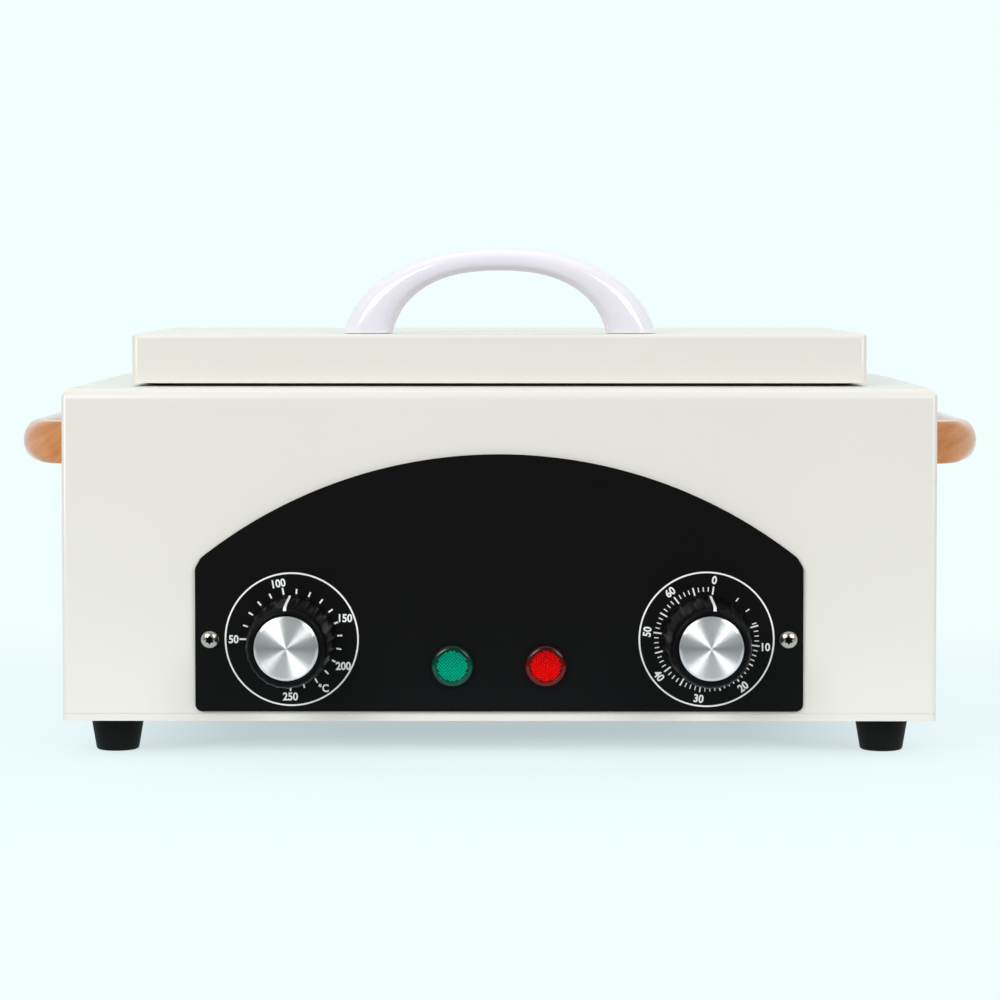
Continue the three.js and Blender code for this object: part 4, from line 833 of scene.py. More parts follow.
def panel_outline():
    """Straight sides, rounded lower corners and a circular arch across the top."""
    (x0, x1), _, (bottom, peak) = span("control_panel")
    side = (x1 - x0) / 2
    shoulder = bottom + SHOULDER
    rise = peak - shoulder
    radius = side * side / (2 * rise) + rise / 2
    points = [(-side, shoulder - SHORT_OF_ARCH)]
    corner = PANEL_CORNER
    points += arc(corner - side, bottom + corner, corner, corner, 180, 270, 6)
    points += [(-x, z) for x, z in reversed(points)]
    reach = math.degrees(math.asin((side - SHORT_OF_ARCH) / radius))
    points += arc(0, peak - radius, radius, radius, 90 - reach, 90 + reach, 80)
    return softened(points, 0.8, closed=True, steps=2)


def dial_numeral(text, height, place, turn, material):
    """A printed number or sign of a height, with its middle at a place, turned clockwise by an angle."""
    curve = bpy.data.curves.new("numeral", "FONT")
    curve.body = text
    curve.align_x = "CENTER"
    curve.align_y = "CENTER"
    curve.extrude = NUMERAL_DEPTH
    curve.offset = NUMERAL_STROKE
    curve.resolution_u = 6
    source = new_object("numeral", curve)
    mesh = plain_mesh(source)
    discard(source)
    xs, ys = [[v.co[i] for v in mesh.vertices] for i in (0, 1)]
    centre = Vector(((min(xs) + max(xs)) / 2, (min(ys) + max(ys)) / 2, 0))
    size = height / (max(ys) - min(ys))
    scale = (size * NUMERAL_WIDTH, size, NUMERAL_PROUD / NUMERAL_DEPTH, 1)
    mesh.transform(Matrix.Diagonal(scale) @ Matrix.Translation(-centre))
    mesh.transform(Matrix.Rotation(radians(turn), 4, "Y") @ AIMS["front"])
    mesh.transform(Matrix.Translation(place))
    mesh.transform(Matrix.Scale(MM, 4))
    mesh.materials.clear()
    mesh.materials.append(material)
    return new_object("numeral", mesh)


def scale_print(name, settings, ink):
    """Everything printed round one dial: the ring, the marks and the numbers."""
    ring_radius, runs, labels = SCALES[name]
    centre = middle(name + "_knob")
    centre.y = span("control_panel")[1][0]
    half = settings.ring_width / MM / 2
    corners = ((-half, 0.02), (half, 0.02), (half, -PROUD), (-half, -PROUD))
    profile = [(ring_radius + out, centre.y + level) for out, level in corners]
    parts = [piece("ring", turned(profile, centre, "Y", True, 128), ink)]
    for first, step, count, (inner, outer, thick) in runs:
        values = {
            "Count": count,
            "First Angle": radians(first),
            "Step": radians(step),
            "Radius": (inner + outer) / 2 * MM,
            "Size": Vector((thick, 2 * PROUD, outer - inner)) * MM,
            "Centre": centre * MM,
        }
        parts.append(run_tree(tick_tree(), "marks", ink, values))
    for text, angle, turn, reach in labels:
        way = Vector((sin(radians(angle)), 0, cos(radians(angle))))
        place = centre + reach * way - Vector((0, NUMERAL_PROUD, 0))
        parts.append(dial_numeral(text, settings.numeral / MM, place, turn, ink))
    put(joined(name + "_scale", parts), "cabinet", None)


class STERILIZER_OT_panel(bpy.types.Operator):
    """Arched control panel with its printed dials and its two screws"""

    bl_idname = "sterilizer.panel"
    bl_label = "Control Panel"

    def execute(self, context):
        settings = context.scene.sterilizer_panel
        _, (front, back), _ = span("control_panel")
        lacquer = finish("satin black lacquer", settings.black)
        plate = piece("control_panel_plate", prism(panel_outline(), "Y", front, back), lacquer)
        carve(plate, panel_holes(front - CUT, back + CUT))
        put(even_normals(plate, settings.bevel), "cabinet", "black_panel", "control_panel")
        for name in SCALES:
            scale_print(name, settings, finish("white printing ink", settings.print_white))
        screw_pair("panel_screw", front - SEAT_IN, "polished stainless steel", "polished_steel")
        return {"FINISHED"}


# Dials


# From the edge of a knob's front down its side: radius, distance from the front, and how deep the flutes are
KNOB_SIDE = [(12.0, 0.0, 0.0), (12.7, 0.4, 0.1), (13.3, 1.2, 0.3), (13.75, 2.8, 0.6), (14.0, 5.5, 1.0)]
KNOB_SIDE += [(14.2, 9.0, 1.0), (14.75, 25.8, 1.0)]
# From its skirt round its back into the bore: radius and distance from the back
KNOB_BACK = [(14.8, 2.2), (15.1, 1.6), (15.1, 0.0), (9.5, 0.0), (9.5, 6.0), (3.2, 6.0)]
# Radius of the cap's seat, gap behind the cap, and thickness of the plastic between the cap and the bore
CAP_SEAT, CAP_GAP, CAP_WEB = 11.15, 0.2, 2.6
# Radius and distance from the front round a cap
CAP = [(0.0, 0.0), (10.0, 0.05), (10.85, 0.5)]
# Mark in a cap: width, height and corner radius, its place from the centre and its depth
CAP_MARK, CAP_MARK_PLACE, CAP_MARK_DEPTH = (1.4, 4.9, 0.25), (0.3, 0, 7.2), 0.3
# How each dial stands at rest, in degrees, and whether its cap has a mark
DIALS = {"thermostat": (-2.0, False), "timer": (5.0, True)}


def knob_shape(name, settings, spot, pointer_angle, material):
    """Tapered knob with flutes down its side, a seat for its cap and a hollow behind."""
    _, (front, back), _ = span(name + "_knob")
    seat = span(name + "_knob_cap")[1][1] + CAP_GAP
    profile = [(0.0, seat, 0.0), (CAP_SEAT, seat, 0.0), (CAP_SEAT, front, 0.0)]
    profile += [(radius, front + level, flute) for radius, level, flute in KNOB_SIDE]
    profile += [(radius, back - level, 0.0) for radius, level in KNOB_BACK]
    profile += [(radius, seat + CAP_WEB, 0.0) for radius in (KNOB_BACK[-1][0], 0.0)]
    steps = settings.flutes * 10
    rings = []
    for radius, level, flute in softened(profile, 0.6):
        ring = []
        for angle in [2 * pi * i / steps for i in range(steps)]:
            wave = 0.5 - 0.5 * cos(settings.flutes * angle)
            reach = radius - flute * settings.flute_depth / MM * wave
            turn = angle + radians(pointer_angle)
            ring.append((spot.x + reach * sin(turn), level, spot.z + reach * cos(turn)))
        rings.append(ring)
    return piece(name + "_knob_body", loft(rings), material)


def pointer_line(name, settings, spot, angle, material):
    """Painted line that narrows from the front of the knob's rim down its side."""
    _, (front, back), _ = span(name + "_knob")
    half = settings.pointer / MM / 2
    sunk = 0.25
    path = [(radius + 0.03, front + level - 0.02) for radius, level, _ in KNOB_SIDE[1:]]
    path += [(15.13, back - 1.6), (15.13, back - 0.4)]
    rings = []
    for i, (radius, level) in enumerate(path):
        side = half * (1.2 - 0.4 * i / len(path))
        corners = ((-side, 0.0), (side, 0.0), (side, sunk), (-side, sunk))
        rings.append([(spot.x + x, level, spot.z + radius - depth) for x, depth in corners])
    line = piece(name + "_pointer", loft(rings), material)
    centre = Matrix.Translation(Vector((spot.x, 0, spot.z)) * MM)
    line.data.transform(centre @ Matrix.Rotation(radians(angle), 4, "Y") @ centre.inverted())
    return line


def cap_shape(name, spot, marked, material):
    """Spun disc with a rolled edge, and on some a mark pressed into it."""
    _, (front, back), _ = span(name + "_knob_cap")
    profile = [(radius, front + level) for radius, level in CAP] + [(CAP[-1][0], back), (0.0, back)]
    disc = piece(name + "_cap_disc", turned(softened(profile, 0.35), spot), material)
    if marked:
        place = spot + Vector(CAP_MARK_PLACE)
        carve(disc, [slab("mark", CAP_MARK, "Y", place, front - 1, front + CAP_MARK_DEPTH, None, 3)])
    return disc


class STERILIZER_OT_dials(bpy.types.Operator):
    """Both knobs with their pointer lines and spun caps"""

    bl_idname = "sterilizer.dials"
    bl_label = "Dials"

    def execute(self, context):
        settings = context.scene.sterilizer_dials
        plastic = finish("glossy black phenolic", settings.plastic)
        ink = finish("white printing ink", context.scene.sterilizer_panel.print_white)
        for name, (angle, marked) in DIALS.items():
            spot, cap = middle(name + "_knob"), name + "_knob_cap"
            body = name + "_dial"
            knob = knob_shape(name, settings, spot, angle, plastic)
            put(knob, body, "knob_plastic", name + "_knob")
            put(pointer_line(name, settings, spot, angle, ink), body, None)
            metal = spun_aluminium(name + " cap aluminium", settings.aluminium, middle(cap))
            put(cap_shape(name, spot, marked, metal), body, "spun_aluminium", cap)
        return {"FINISHED"}


# Lamps


# Radius of the field of diamonds and of their outermost middles, how far behind the ring's front the field
# and its diamonds lie, and the diamonds' height
FIELD, FIELD_REACH, FIELD_LEVEL, DIAMOND_LEVEL, DIAMOND_HEIGHT = 5.3, 5.15, 0.9, 0.66, 0.6
# Radius and distance from the front across the lens ring, and radius and length of the stem behind it
LENS_RING = [(FIELD, FIELD_LEVEL), (5.4, 0.1), (5.7, 0.0), (6.4, 0.22), (6.95, 0.75), (7.15, 1.5)]
STEM, STEM_LENGTH = 4.8, 9.0
# Painted light on the lenses: how bright the ring's and the diamonds' colour is painted at the bottom and at
# the top. The ring is painted far darker than the diamonds, and both are painted lighter below as a glow and
# darker above as shade
RING_PAINTED_LIGHT, DIAMOND_PAINTED_LIGHT = (0.14, 0.04), (1.0, 0.85)


class STERILIZER_OT_lamps(bpy.types.Operator):
    """Two pilot lamps: a bevelled lens ring round a field of raised diamonds"""

    bl_idname = "sterilizer.lamps"
    bl_label = "Pilot Lamps"

    def execute(self, context):
        settings = context.scene.sterilizer_lamps
        pitch = settings.pitch / MM
        seat = span("control_panel")[1][0] - SEAT_IN
        edge = LENS_RING[-1][0]
        for colour_name in ("green", "red"):
            name, colour = colour_name + "_lamp", getattr(settings, colour_name)
            node = name + "_lens"
            spot, front = middle(node), span(node)[1][0]
            # The ring and the diamonds get painted glow below and painted shade above
            ring_finish = lens_plastic_painted_light(name + " ring", colour, spot, edge, *RING_PAINTED_LIGHT)
            field_finish = lens_plastic_painted_light(name + " diamonds", colour, spot, FIELD, *DIAMOND_PAINTED_LIGHT)
            profile = [(radius, front + level) for radius, level in LENS_RING]
            profile += [(edge, seat), (STEM, seat), (STEM, seat + STEM_LENGTH), (0.0, seat + STEM_LENGTH)]
            profile.append((0.0, front + FIELD_LEVEL))
            ring = piece(node + "_ring", turned(softened(profile, 0.3), spot), ring_finish)
            put(ring, "cabinet", colour_name + "_lens", node)
            values = {
                "Count": 2 * math.ceil(FIELD / pitch) + 1,
                "Pitch": pitch * MM,
                "Radius": FIELD_REACH * MM,
                "Height": DIAMOND_HEIGHT * MM,
                "Centre": Vector((spot.x, front + DIAMOND_LEVEL, spot.z)) * MM,
            }
            field = run_tree(diamond_tree(), name + "_diamonds", field_finish, values)
            put(shade(field, 10), "cabinet", colour_name + "_lens")
        return {"FINISHED"}


# Handles


# Side handle: radius of the outer sweep, thickness of the grip, radius inside the bend, and length of a foot
SWEEP, GRIP, BEND, HANDLE_FOOT = 27.0, 11.0, 7.5, 15.0
# Radii of its section's outer and inner edge, at the feet and how much they gain along the grip
SIDE_EDGE, OUTER_GAIN, INNER_GAIN = 0.9, (5.6, 6.3), (2.1, 2.6)
# Lid handle: half width, how far its centre lies under the lid, and how square it is, outside and inside
LID_OUTER, LID_INNER = (55.8, 10.3, 2.2), (38.0, 8.5, 2.4)
LID_CROWN, LID_SINK, LID_STEPS = 8.0, 0.2, 64
# Its section's edges: share of the thickness and size across, outside and inside
LID_OUTER_EDGE, LID_INNER_EDGE = (0.47, 6.5), (0.4, 6.0)


def bow_section(length, depth, outer, inner, steps=6):
    """Section between a bow's outer and inner edge, which have quarter ovals of a size along and across."""
    points = []
    corners = [(outer[0], 1, outer, 90), (outer[0], -1, outer, 180)]
    corners += [(length - inner[0], -1, inner, 270), (length - inner[0], 1, inner, 0)]
    for along, side, oval, start in corners:
        points += arc(along, side * (depth / 2 - oval[1]), *oval, start, start + 90, steps)
    return points


def bow(name, stations, depth, place, material):
    """Bow through stations: each has an outer point, an inner point and the radii of their edges."""
    rings = []
    for start, end, outer, inner in stations:
        length = math.dist(start, end)
        way = [(b - a) / length for a, b in zip(start, end)]
        section = bow_section(length, depth, outer, inner)
        rings.append([place(*[a + w * along for a, w in zip(start, way)], across) for along, across in section])
    return piece(name, loft(rings), material, sharp=50)


def side_bow_stations(half, reach):
    """From one foot at the wall round the outside to the other: X is away from the wall."""
    start = -math.degrees(math.acos((SWEEP - reach) / SWEEP))
    outer = arc(reach - SWEEP, SWEEP - half, SWEEP, SWEEP, start, 0, 24)
    foot = HANDLE_FOOT
    inner = [(0.0, foot - half), (1.0, foot - half)]
    inner += arc(reach - GRIP - BEND, foot + BEND - half, BEND, BEND, -90, 0, 22)
    along = [2 * i / 8 - 1 for i in range(1, 8)]
    middle_outer = [(reach, (half - SWEEP) * share) for share in along]
    middle_inner = [(reach - GRIP, (half - foot - BEND) * share) for share in along]
    outer += middle_outer + [(x, -y) for x, y in reversed(outer)]
    inner += middle_inner + [(x, -y) for x, y in reversed(inner)]
    made = []
    last = len(outer) - 1
    for i, ends in enumerate(zip(outer, inner)):
        t = min(max((min(i, last - i) - 3) / 16, 0.0), 1.0)
        share = t * t * (3 - 2 * t)
        radii = [[SIDE_EDGE + gain * share for gain in gains] for gains in (OUTER_GAIN, INNER_GAIN)]
        made.append((*ends, *radii))
    return made


class STERILIZER_OT_side_handles(bpy.types.Operator):
    """Wooden bow on each side: square at its feet and rounded along its grip"""

    bl_idname = "sterilizer.side_handles"
    bl_label = "Side Handles"

    def execute(self, context):
        settings = context.scene.sterilizer_handles
        wood = lacquered_wood(settings.wood_light, settings.wood_dark)
        for side, sign in (("left", -1), ("right", 1)):
            node = "side_handle_" + side
            (x0, x1), (y0, y1), (z0, z1) = span(node)
            wall = x0 if sign > 0 else x1
            centre = middle(node)
            stations = side_bow_stations((y1 - y0) / 2, x1 - x0)
            place = lambda x, y, across: (wall + sign * x, centre.y + y, centre.z + across)
            put(bow(node + "_bow", stations, z1 - z0, place, wood), "cabinet", "lacquered_wood", node)
        return {"FINISHED"}


def superellipse(half, sink, power, rise):
    """Points over the lid from the right foot to the left, up to a rise."""
    height = rise + sink
    foot = math.asin((sink / height) ** (power / 2))
    points = []
    for angle in [foot + (pi - 2 * foot) * i / LID_STEPS for i in range(LID_STEPS + 1)]:
        across = math.copysign(abs(cos(angle)) ** (2 / power), cos(angle))
        points.append((half * across, height * sin(angle) ** (2 / power) - sink))
    return points


# Sheet pans


PAN_SHEET = 0.8
FLOOR_CORE = (20.0, 20.0, 2.0)  # ring in the floor's middle that closes it


def pan_profile(outer, inner, low, rim):
    """Section of an open pan: its floor and outside up to the rim, then its inside and floor."""
    floor = low + PAN_SHEET
    outside = [(*FLOOR_CORE, low), (*outer, low), (*outer, rim)]
    return outside + [(*inner, rim), (*inner, floor), (*FLOOR_CORE, floor)]


class STERILIZER_OT_lid(bpy.types.Operator):
    """Lid with its bow handle, liner and seal"""

    bl_idname = "sterilizer.lid"
    bl_label = "Lid"

    def execute(self, context):
        settings = context.scene.sterilizer_case
        top = span("lid_shell")[2][1]
        spots = [middle("lid_handle_screw_" + side) for side in ("left", "right")]
        holes = [bar("Z", HANDLE_HOLE, spot, top - CUT, top + CUT) for spot in spots]
        lid = folded_shell("lid_case", "lid_shell", settings, settings.lid_edge, holes)
        put(lid, "lid", "ivory_enamel", "lid_shell")
        self.handle(context.scene.sterilizer_handles)
        self.liner()
        self.seal()
        return {"FINISHED"}

    def handle(self, settings):
        _, (y0, y1), (base, top) = span("lid_handle")
        middle_y, rise = (y0 + y1) / 2, top - base + LID_SINK
        stations = []
        outline = zip(superellipse(*LID_OUTER, rise), superellipse(*LID_INNER, rise - LID_CROWN))
        for outer, inner in outline:
            thickness = math.dist(outer, inner)
            edges = [(share * thickness, across) for share, across in (LID_OUTER_EDGE, LID_INNER_EDGE)]
            stations.append((outer, inner, *edges))
        place = lambda x, z, across: (x, middle_y + across, base - LID_SINK + max(z, LID_SINK))
        plastic = finish("glossy white plastic", settings.plastic)
        put(bow("lid_bow", stations, y1 - y0, place, plastic), "lid", "handle_plastic", "lid_handle")

    def liner(self):
        (x0, x1), (y0, y1), (z0, z1) = span("lid_liner")
        width, depth = x1 - x0, y1 - y0
        outer, inner = (width, depth, 1.2), (width - 2 * PAN_SHEET, depth - 2 * PAN_SHEET, 0.6)
        profile = softened(pan_profile(outer, inner, z0, z1), 0.7)
        pan = piece("lid_liner_pan", dish(profile, middle("lid_liner")), stainless())
        put(even_normals(pan), "lid", "stainless_steel", "lid_liner")

    def seal(self):
        (x0, x1), (y0, y1), (z0, z1) = span("lid_seal")
        width, depth, band = x1 - x0, y1 - y0, 5.0
        outer, inner = (width, depth, 15.0), (width - 2 * band, depth - 2 * band, 10.0)
        profile = softened([(*outer, z0), (*outer, z1), (*inner, z1), (*inner, z0)], 0.9, True)
        ring = piece("lid_seal_ring", dish(profile, middle("lid_seal"), True), finish("black silicone"))
        put(ring, "lid", "silicone", "lid_seal")


# Chamber


# Width, depth and corner radius of the tub, outside and inside
TUB_WALLS, TUB_HOLLOW = (223.6, 111.6, 10.8), (222.0, 110.0, 10.0)
# Tray: corner radius outside, how far its tabs rise over its rim, and radius of its edges
TRAY_CORNER, TAB_RISE, TRAY_EDGE = 9.2, 8.0, 1.2
# Its slots: width, corner radius and end of each row from the middle; their number; space beside them
TRAY_SLOT, TRAY_SLOT_RADIUS, TRAY_SLOT_ENDS, TRAY_SLOTS, TRAY_MARGIN = 6.0, 2.6, (5.0, 37.0), 9, 28.0
# Its tabs and the hole in each: width, height and corner radius, and the hole's depth under the top
TAB_WIDTH, TAB_RADIUS, TAB_HOLE, TAB_HOLE_DEPTH = 44.0, 3.5, (24.0, 3.4, 1.6), 4.2


class STERILIZER_OT_chamber(bpy.types.Operator):
    """Drawn chamber and its slotted instrument tray"""

    bl_idname = "sterilizer.chamber"
    bl_label = "Chamber"

    def execute(self, context):
        fillet = context.scene.sterilizer_chamber.fillet / MM
        (x0, x1), (y0, y1), (z0, z1) = span("chamber_tub")
        under = z1 - PAN_SHEET
        flange = (x1 - x0, y1 - y0, TUB_HOLLOW[2] + (y1 - y0 - TUB_HOLLOW[1]) / 2)
        profile = pan_profile(TUB_WALLS, TUB_HOLLOW, z0, z1)
        profile[2:3] = [(*TUB_WALLS, under), (*flange, under), (*flange, z1)]
        profile = self.filleted(profile, fillet)
        tub = piece("chamber_pan", dish(profile, middle("chamber_tub")), stainless())
        put(even_normals(tub), "cabinet", "stainless_steel", "chamber_tub")
        put(self.tray(), "tray", "stainless_steel", "instrument_tray")
        return {"FINISHED"}

    def filleted(self, profile, fillet):
        """Wide fillets round the floor and narrow ones elsewhere."""
        outside = softened(profile[:3], fillet + PAN_SHEET, steps=6)
        rim = softened(profile[1:7], 0.5)
        inside = softened(profile[5:], fillet, steps=6)
        return outside[:-1] + rim[1:-1] + inside[1:]

    def tray(self):
        (x0, x1), (y0, y1), (z0, top) = span("instrument_tray")
        width, depth, centre = x1 - x0, y1 - y0, middle("instrument_tray")
        rim, thin = top - TAB_RISE, PAN_SHEET
        outer, inner = (width, depth, TRAY_CORNER), (width - 2 * thin, depth - 2 * thin, TRAY_CORNER - thin)
        profile = softened(pan_profile(outer, inner, z0, rim), TRAY_EDGE)
        pan = piece("instrument_tray_pan", dish(profile, centre), stainless())
        near, far = TRAY_SLOT_ENDS
        size, pitch = (TRAY_SLOT, far - near, TRAY_SLOT_RADIUS), (width - TRAY_MARGIN) / TRAY_SLOTS
        first = -(TRAY_SLOTS - 1) / 2 * pitch
        cutters = []
        for sign in (1, -1):
            spot = (0, centre.y + sign * (near + far) / 2, 0)
            source = slab("slot", size, "Z", spot, z0 - 3, z0 + 3)
            cutters.append(row("tray slots", source, TRAY_SLOTS, (first, 0, 0), (pitch, 0, 0)))
        parts = [carve(pan, cutters)]
        height = TAB_RISE + 8.0
        for sign in (-1, 1):
            x = sign * (width - thin) / 2
            spot, hole = (x, centre.y, top - height / 2), (x, centre.y, top - TAB_HOLE_DEPTH)
            size = (TAB_WIDTH, height, TAB_RADIUS)
            tab = slab("tab", size, "X", spot, x - thin / 2, x + thin / 2, stainless())
            parts.append(carve(tab, [slab("grip", TAB_HOLE, "X", hole, x - 3, x + 3)]))
        return even_normals(joined("instrument_tray_pan", parts))


# Hinges and inlet


# Hinge: half the pin, half the lid's knuckle, where the body's knuckles start, and the leaves' bevel
PIN_HALF, LID_KNUCKLE, BODY_KNUCKLE, LEAF_BEVEL = 15.0, 4.9, 5.1, 0.12 * MM
# Radii of the pin, of a knuckle's bore and of its outside, and half the leaf with its overrun
PIN, KNUCKLE_BORE, KNUCKLE, LEAF_HALF = 1.2, 1.29, 2.2, 20.0
# Rivets: radius and height of the head, and half their distance
RIVET, RIVET_HEIGHT, RIVET_HALF = 2.2, 0.8, 9.0
# The body's leaf follows the case's round edge: radius of that edge, and of the leaf's outside and inside
EDGE, LEAF_OUTER, LEAF_INNER = 4.5, 5.7, 4.7

# Inlet: thickness and corner radius of its flange, and radius and places of the screw holes
FLANGE, FLANGE_CORNER, SCREW_HOLE, SCREW_X = 2.5, 4.0, 1.9, 20.0
# Width, height and corner radius of its body, its socket and a pin, and the pins' places
INLET_BODY, INLET_SOCKET, INLET_PIN = (27.6, 20.0, 3.0), (24.6, 16.4, 3.0), (2.0, 4.0, 0.4)
INLET_PINS = [(-7, 0, -2), (0, 0, 2), (7, 0, -2)]
INLET_TAB = Vector((0.4, 0, 3.15))  # half the width and height of a tab behind it


class STERILIZER_OT_hinges(bpy.types.Operator):
    """Two riveted hinges across the back of the lid"""

    bl_idname = "sterilizer.hinges"
    bl_label = "Hinges"

    def execute(self, context):
        slot = "stainless_steel"
        for side in ("left", "right"):
            pin = middle("hinge_pin_" + side)
            start, end = pin.x - PIN_HALF, pin.x + PIN_HALF
            profile = softened([(0, start), (PIN, start), (PIN, end), (0, end)], 0.3)
            rod = piece(f"hinge_{side}_pin", turned(profile, pin, "X", steps=32), stainless())
            put(rod, "cabinet", slot, "hinge_pin_" + side)
            put(self.lid_leaf(side, pin), "lid", slot, "hinge_lid_leaf_" + side)
            put(self.body_leaf(side, pin), "cabinet", slot, "hinge_body_leaf_" + side)
        return {"FINISHED"}

    def knuckle(self, pin, start, end):
        start, end = pin.x + start, pin.x + end
        profile = [(KNUCKLE_BORE, start), (KNUCKLE, start), (KNUCKLE, end), (KNUCKLE_BORE, end)]
        return piece("knuckle", turned(softened(profile, 0.25, True), pin, "X", True, 40), stainless())

    def rivets(self, pin, level, face):
        dome = [(RIVET * sin(a), -RIVET_HEIGHT * cos(a)) for a in [pi / 2 * i / 6 for i in range(7)]]
        head = piece("rivet", turned([*dome, (0.0, 0.0)], axis="Z", steps=32), stainless())
        head.data.transform(AIMS["front"])
        return row("rivets", head, 2, (pin.x - RIVET_HALF, face, level), (2 * RIVET_HALF, 0, 0))

    def lid_leaf(self, side, pin):
        (x0, x1), (seat, _), (_, top) = span("hinge_lid_leaf_" + side)
        x, y, z = pin
        below = 3.0
        size, spot = (x1 - x0, top - z + below, 1.5), (x, 0, (top + z - below) / 2)
        leaf = slab("leaf", size, "Y", spot, seat, seat + 1, stainless())
        sides = ((-LEAF_HALF, -LID_KNUCKLE), (LID_KNUCKLE, LEAF_HALF))
        room = [block("room", (x + a, y - 3.2, z - 4), (x + b, y + 4, z + 2.8)) for a, b in sides]
        room.append(bar("X", 1.9, pin, x - LEAF_HALF, x + LEAF_HALF))
        room.append(block("under", (x - LEAF_HALF, seat - 2, z - 9), (x + LEAF_HALF, y, z - 0.1)))
        leaf = even_normals(carve(leaf, room), LEAF_BEVEL)
        low, high = (x - LID_KNUCKLE, seat + 0.5, z), (x + LID_KNUCKLE, y - 1.5, z + 0.9)
        parts = [leaf, block("web", low, high, stainless()), self.knuckle(pin, -LID_KNUCKLE, LID_KNUCKLE)]
        parts.append(self.rivets(pin, z + 7.8, seat + 1))
        return joined(f"hinge_{side}_lid_leaf", parts)

    def body_leaf(self, side, pin):
        (x0, x1), _, (low, _) = span("hinge_body_leaf_" + side)
        _, (_, back), (_, top) = span("cabinet_shell")
        x, y, z = pin
        bend_y, bend_z = back - EDGE, top - EDGE
        outline = [(y, bend_z + LEAF_OUTER), *arc(bend_y, bend_z, LEAF_OUTER, LEAF_OUTER, 90, 0, 12)]
        outline += [(bend_y + LEAF_OUTER, low), (bend_y + LEAF_INNER, low)]
        outline += [*arc(bend_y, bend_z, LEAF_INNER, LEAF_INNER, 0, 90, 12), (y, bend_z + LEAF_INNER)]
        strip = piece("strip", prism(outline, "X", x0, x1), stainless())
        carve(strip, [block("room", (x - BODY_KNUCKLE, y - 2, z - 4.4), (x + BODY_KNUCKLE, y + 2.8, z + 3))])
        parts = [even_normals(strip, LEAF_BEVEL)]
        ends = ((-PIN_HALF, -BODY_KNUCKLE), (BODY_KNUCKLE, PIN_HALF))
        parts += [self.knuckle(pin, start, end) for start, end in ends]
        parts.append(self.rivets(pin, bend_z - 12, bend_y + LEAF_OUTER))
        return joined(f"hinge_{side}_body_leaf", parts)


class STERILIZER_OT_inlet(bpy.types.Operator):
    """Power inlet with three pins, and the two screws that hold it"""

    bl_idname = "sterilizer.inlet"
    bl_label = "Power Inlet"

    def execute(self, context):
        (x0, x1), (_, face), (z0, z1) = span("power_inlet")
        spot = middle("power_inlet")
        nylon = finish("black nylon")
        size = (x1 - x0, z1 - z0, FLANGE_CORNER)
        flange = slab("power_inlet_body", size, "Y", spot, face - FLANGE, face, nylon)
        places = [spot + Vector((sign * SCREW_X, 0, 0)) for sign in (-1, 1)]
        carve(flange, [bar("Y", SCREW_HOLE, place, face - 9, face + 3) for place in places])
        carve(flange, [slab("body", INLET_BODY, "Y", spot, face - 21, face - 0.2, nylon)], "UNION")
        carve(flange, [slab("socket", INLET_SOCKET, "Y", spot, face - 16, face + 3)])
        put(even_normals(flange, 0.35 * MM), "cabinet", "dark_plastic", "power_inlet")
        pins, tabs = [], []
        for place in [spot + Vector(offset) for offset in INLET_PINS]:
            pin = slab("pin", INLET_PIN, "Y", place, face - 17, face - 2, stainless(), 3)
            pins.append(even_normals(pin, 0.3 * MM))
            if place.x != spot.x:
                low, high = [Vector((place.x, y, spot.z)) for y in (face - 27, face - 20)]
                tabs.append(block("tab", low - INLET_TAB, high + INLET_TAB, stainless()))
        put(joined("power_inlet_pins", pins), "cabinet", "zinc_plate")
        put(joined("power_inlet_tabs", tabs), "cabinet", "zinc_plate")
        screw_pair("inlet_screw", face + 0.02, "bright zinc plate", "zinc_plate")
        return {"FINISHED"}


# What stays as the CAD made it, out of sight or seen from below


KEPT_PARTS = {
    "bright zinc plate": ["base_plate", "heater_clamp", "handle_screw_", "_body", "_nut", "_shaft"],
    "black nylon": ["_holder"],
    "brushed stainless steel": ["heater_element", "thermostat_bulb", "bulb_clip"],
    "mineral fibre board": ["insulation_jacket", "lid_insulation"],
    "woven glass sleeve": ["lead_"],
}


class STERILIZER_OT_inner_parts(bpy.types.Operator):
    """Finishes for the pieces inside the case and for its base plate"""

    bl_idname = "sterilizer.inner_parts"
    bl_label = "Inner Parts"

    def execute(self, context):
        for name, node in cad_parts.items():
            if node.hide_render:
                continue
            kinds = [kind for kind, words in KEPT_PARTS.items() if any(word in name for word in words)]
            if not kinds:
                raise ValueError(f"{name} has no finish")
            metal = kinds[0] == "brushed stainless steel"
            node.data.materials.clear()
            node.data.materials.append(stainless() if metal else finish(kinds[0]))
        return {"FINISHED"}


# Stage


# Area lights, in metres: width and height, and place
LIGHTS = {
    "key": ((1.0, 0.8), (-0.95, -1.6, 1.0)),
    "fill": ((0.9, 0.8), (1.1, -1.5, 0.95)),
    "top": ((1.4, 1.1), (0.0, 0.15, 1.5)),
}
TARGET = Vector((0, 0, 0.08))
# The camera's place in metres, its tilt and turn in degrees, and its shift
CAMERA_PLACE, CAMERA_TURN, CAMERA_SHIFT = (0.0046, -1.1764, 0.164), (87.6, 0, 0.24), (0.001, -0.0865)
# What reflected rays see in front: how much weaker the floor and the surround are there
DARK_FLOOR, DARK_ROOM = 0.15, 0.15
# Half the case's plan in metres, and how much paper shows through the glow under it and beyond it
CASE_HALF, SHADE_UNDER, SHADE_BEYOND = (0.15, 0.083, 0), 0.52, 0.2


def backdrop_share(tree, share):
    """How much of the plain backdrop a ray sees: a camera ray all, a reflected or refracted one a share."""
    ray = add(tree, "ShaderNodeLightPath").node.outputs
    either = add(tree, "ShaderNodeMath", {0: ray["Is Glossy Ray"], 1: ray["Is Transmission Ray"]})
    inputs = {0: either, 1: share, 2: ray["Is Camera Ray"]}
    return add(tree, "ShaderNodeMath", inputs, operation="MULTIPLY_ADD")


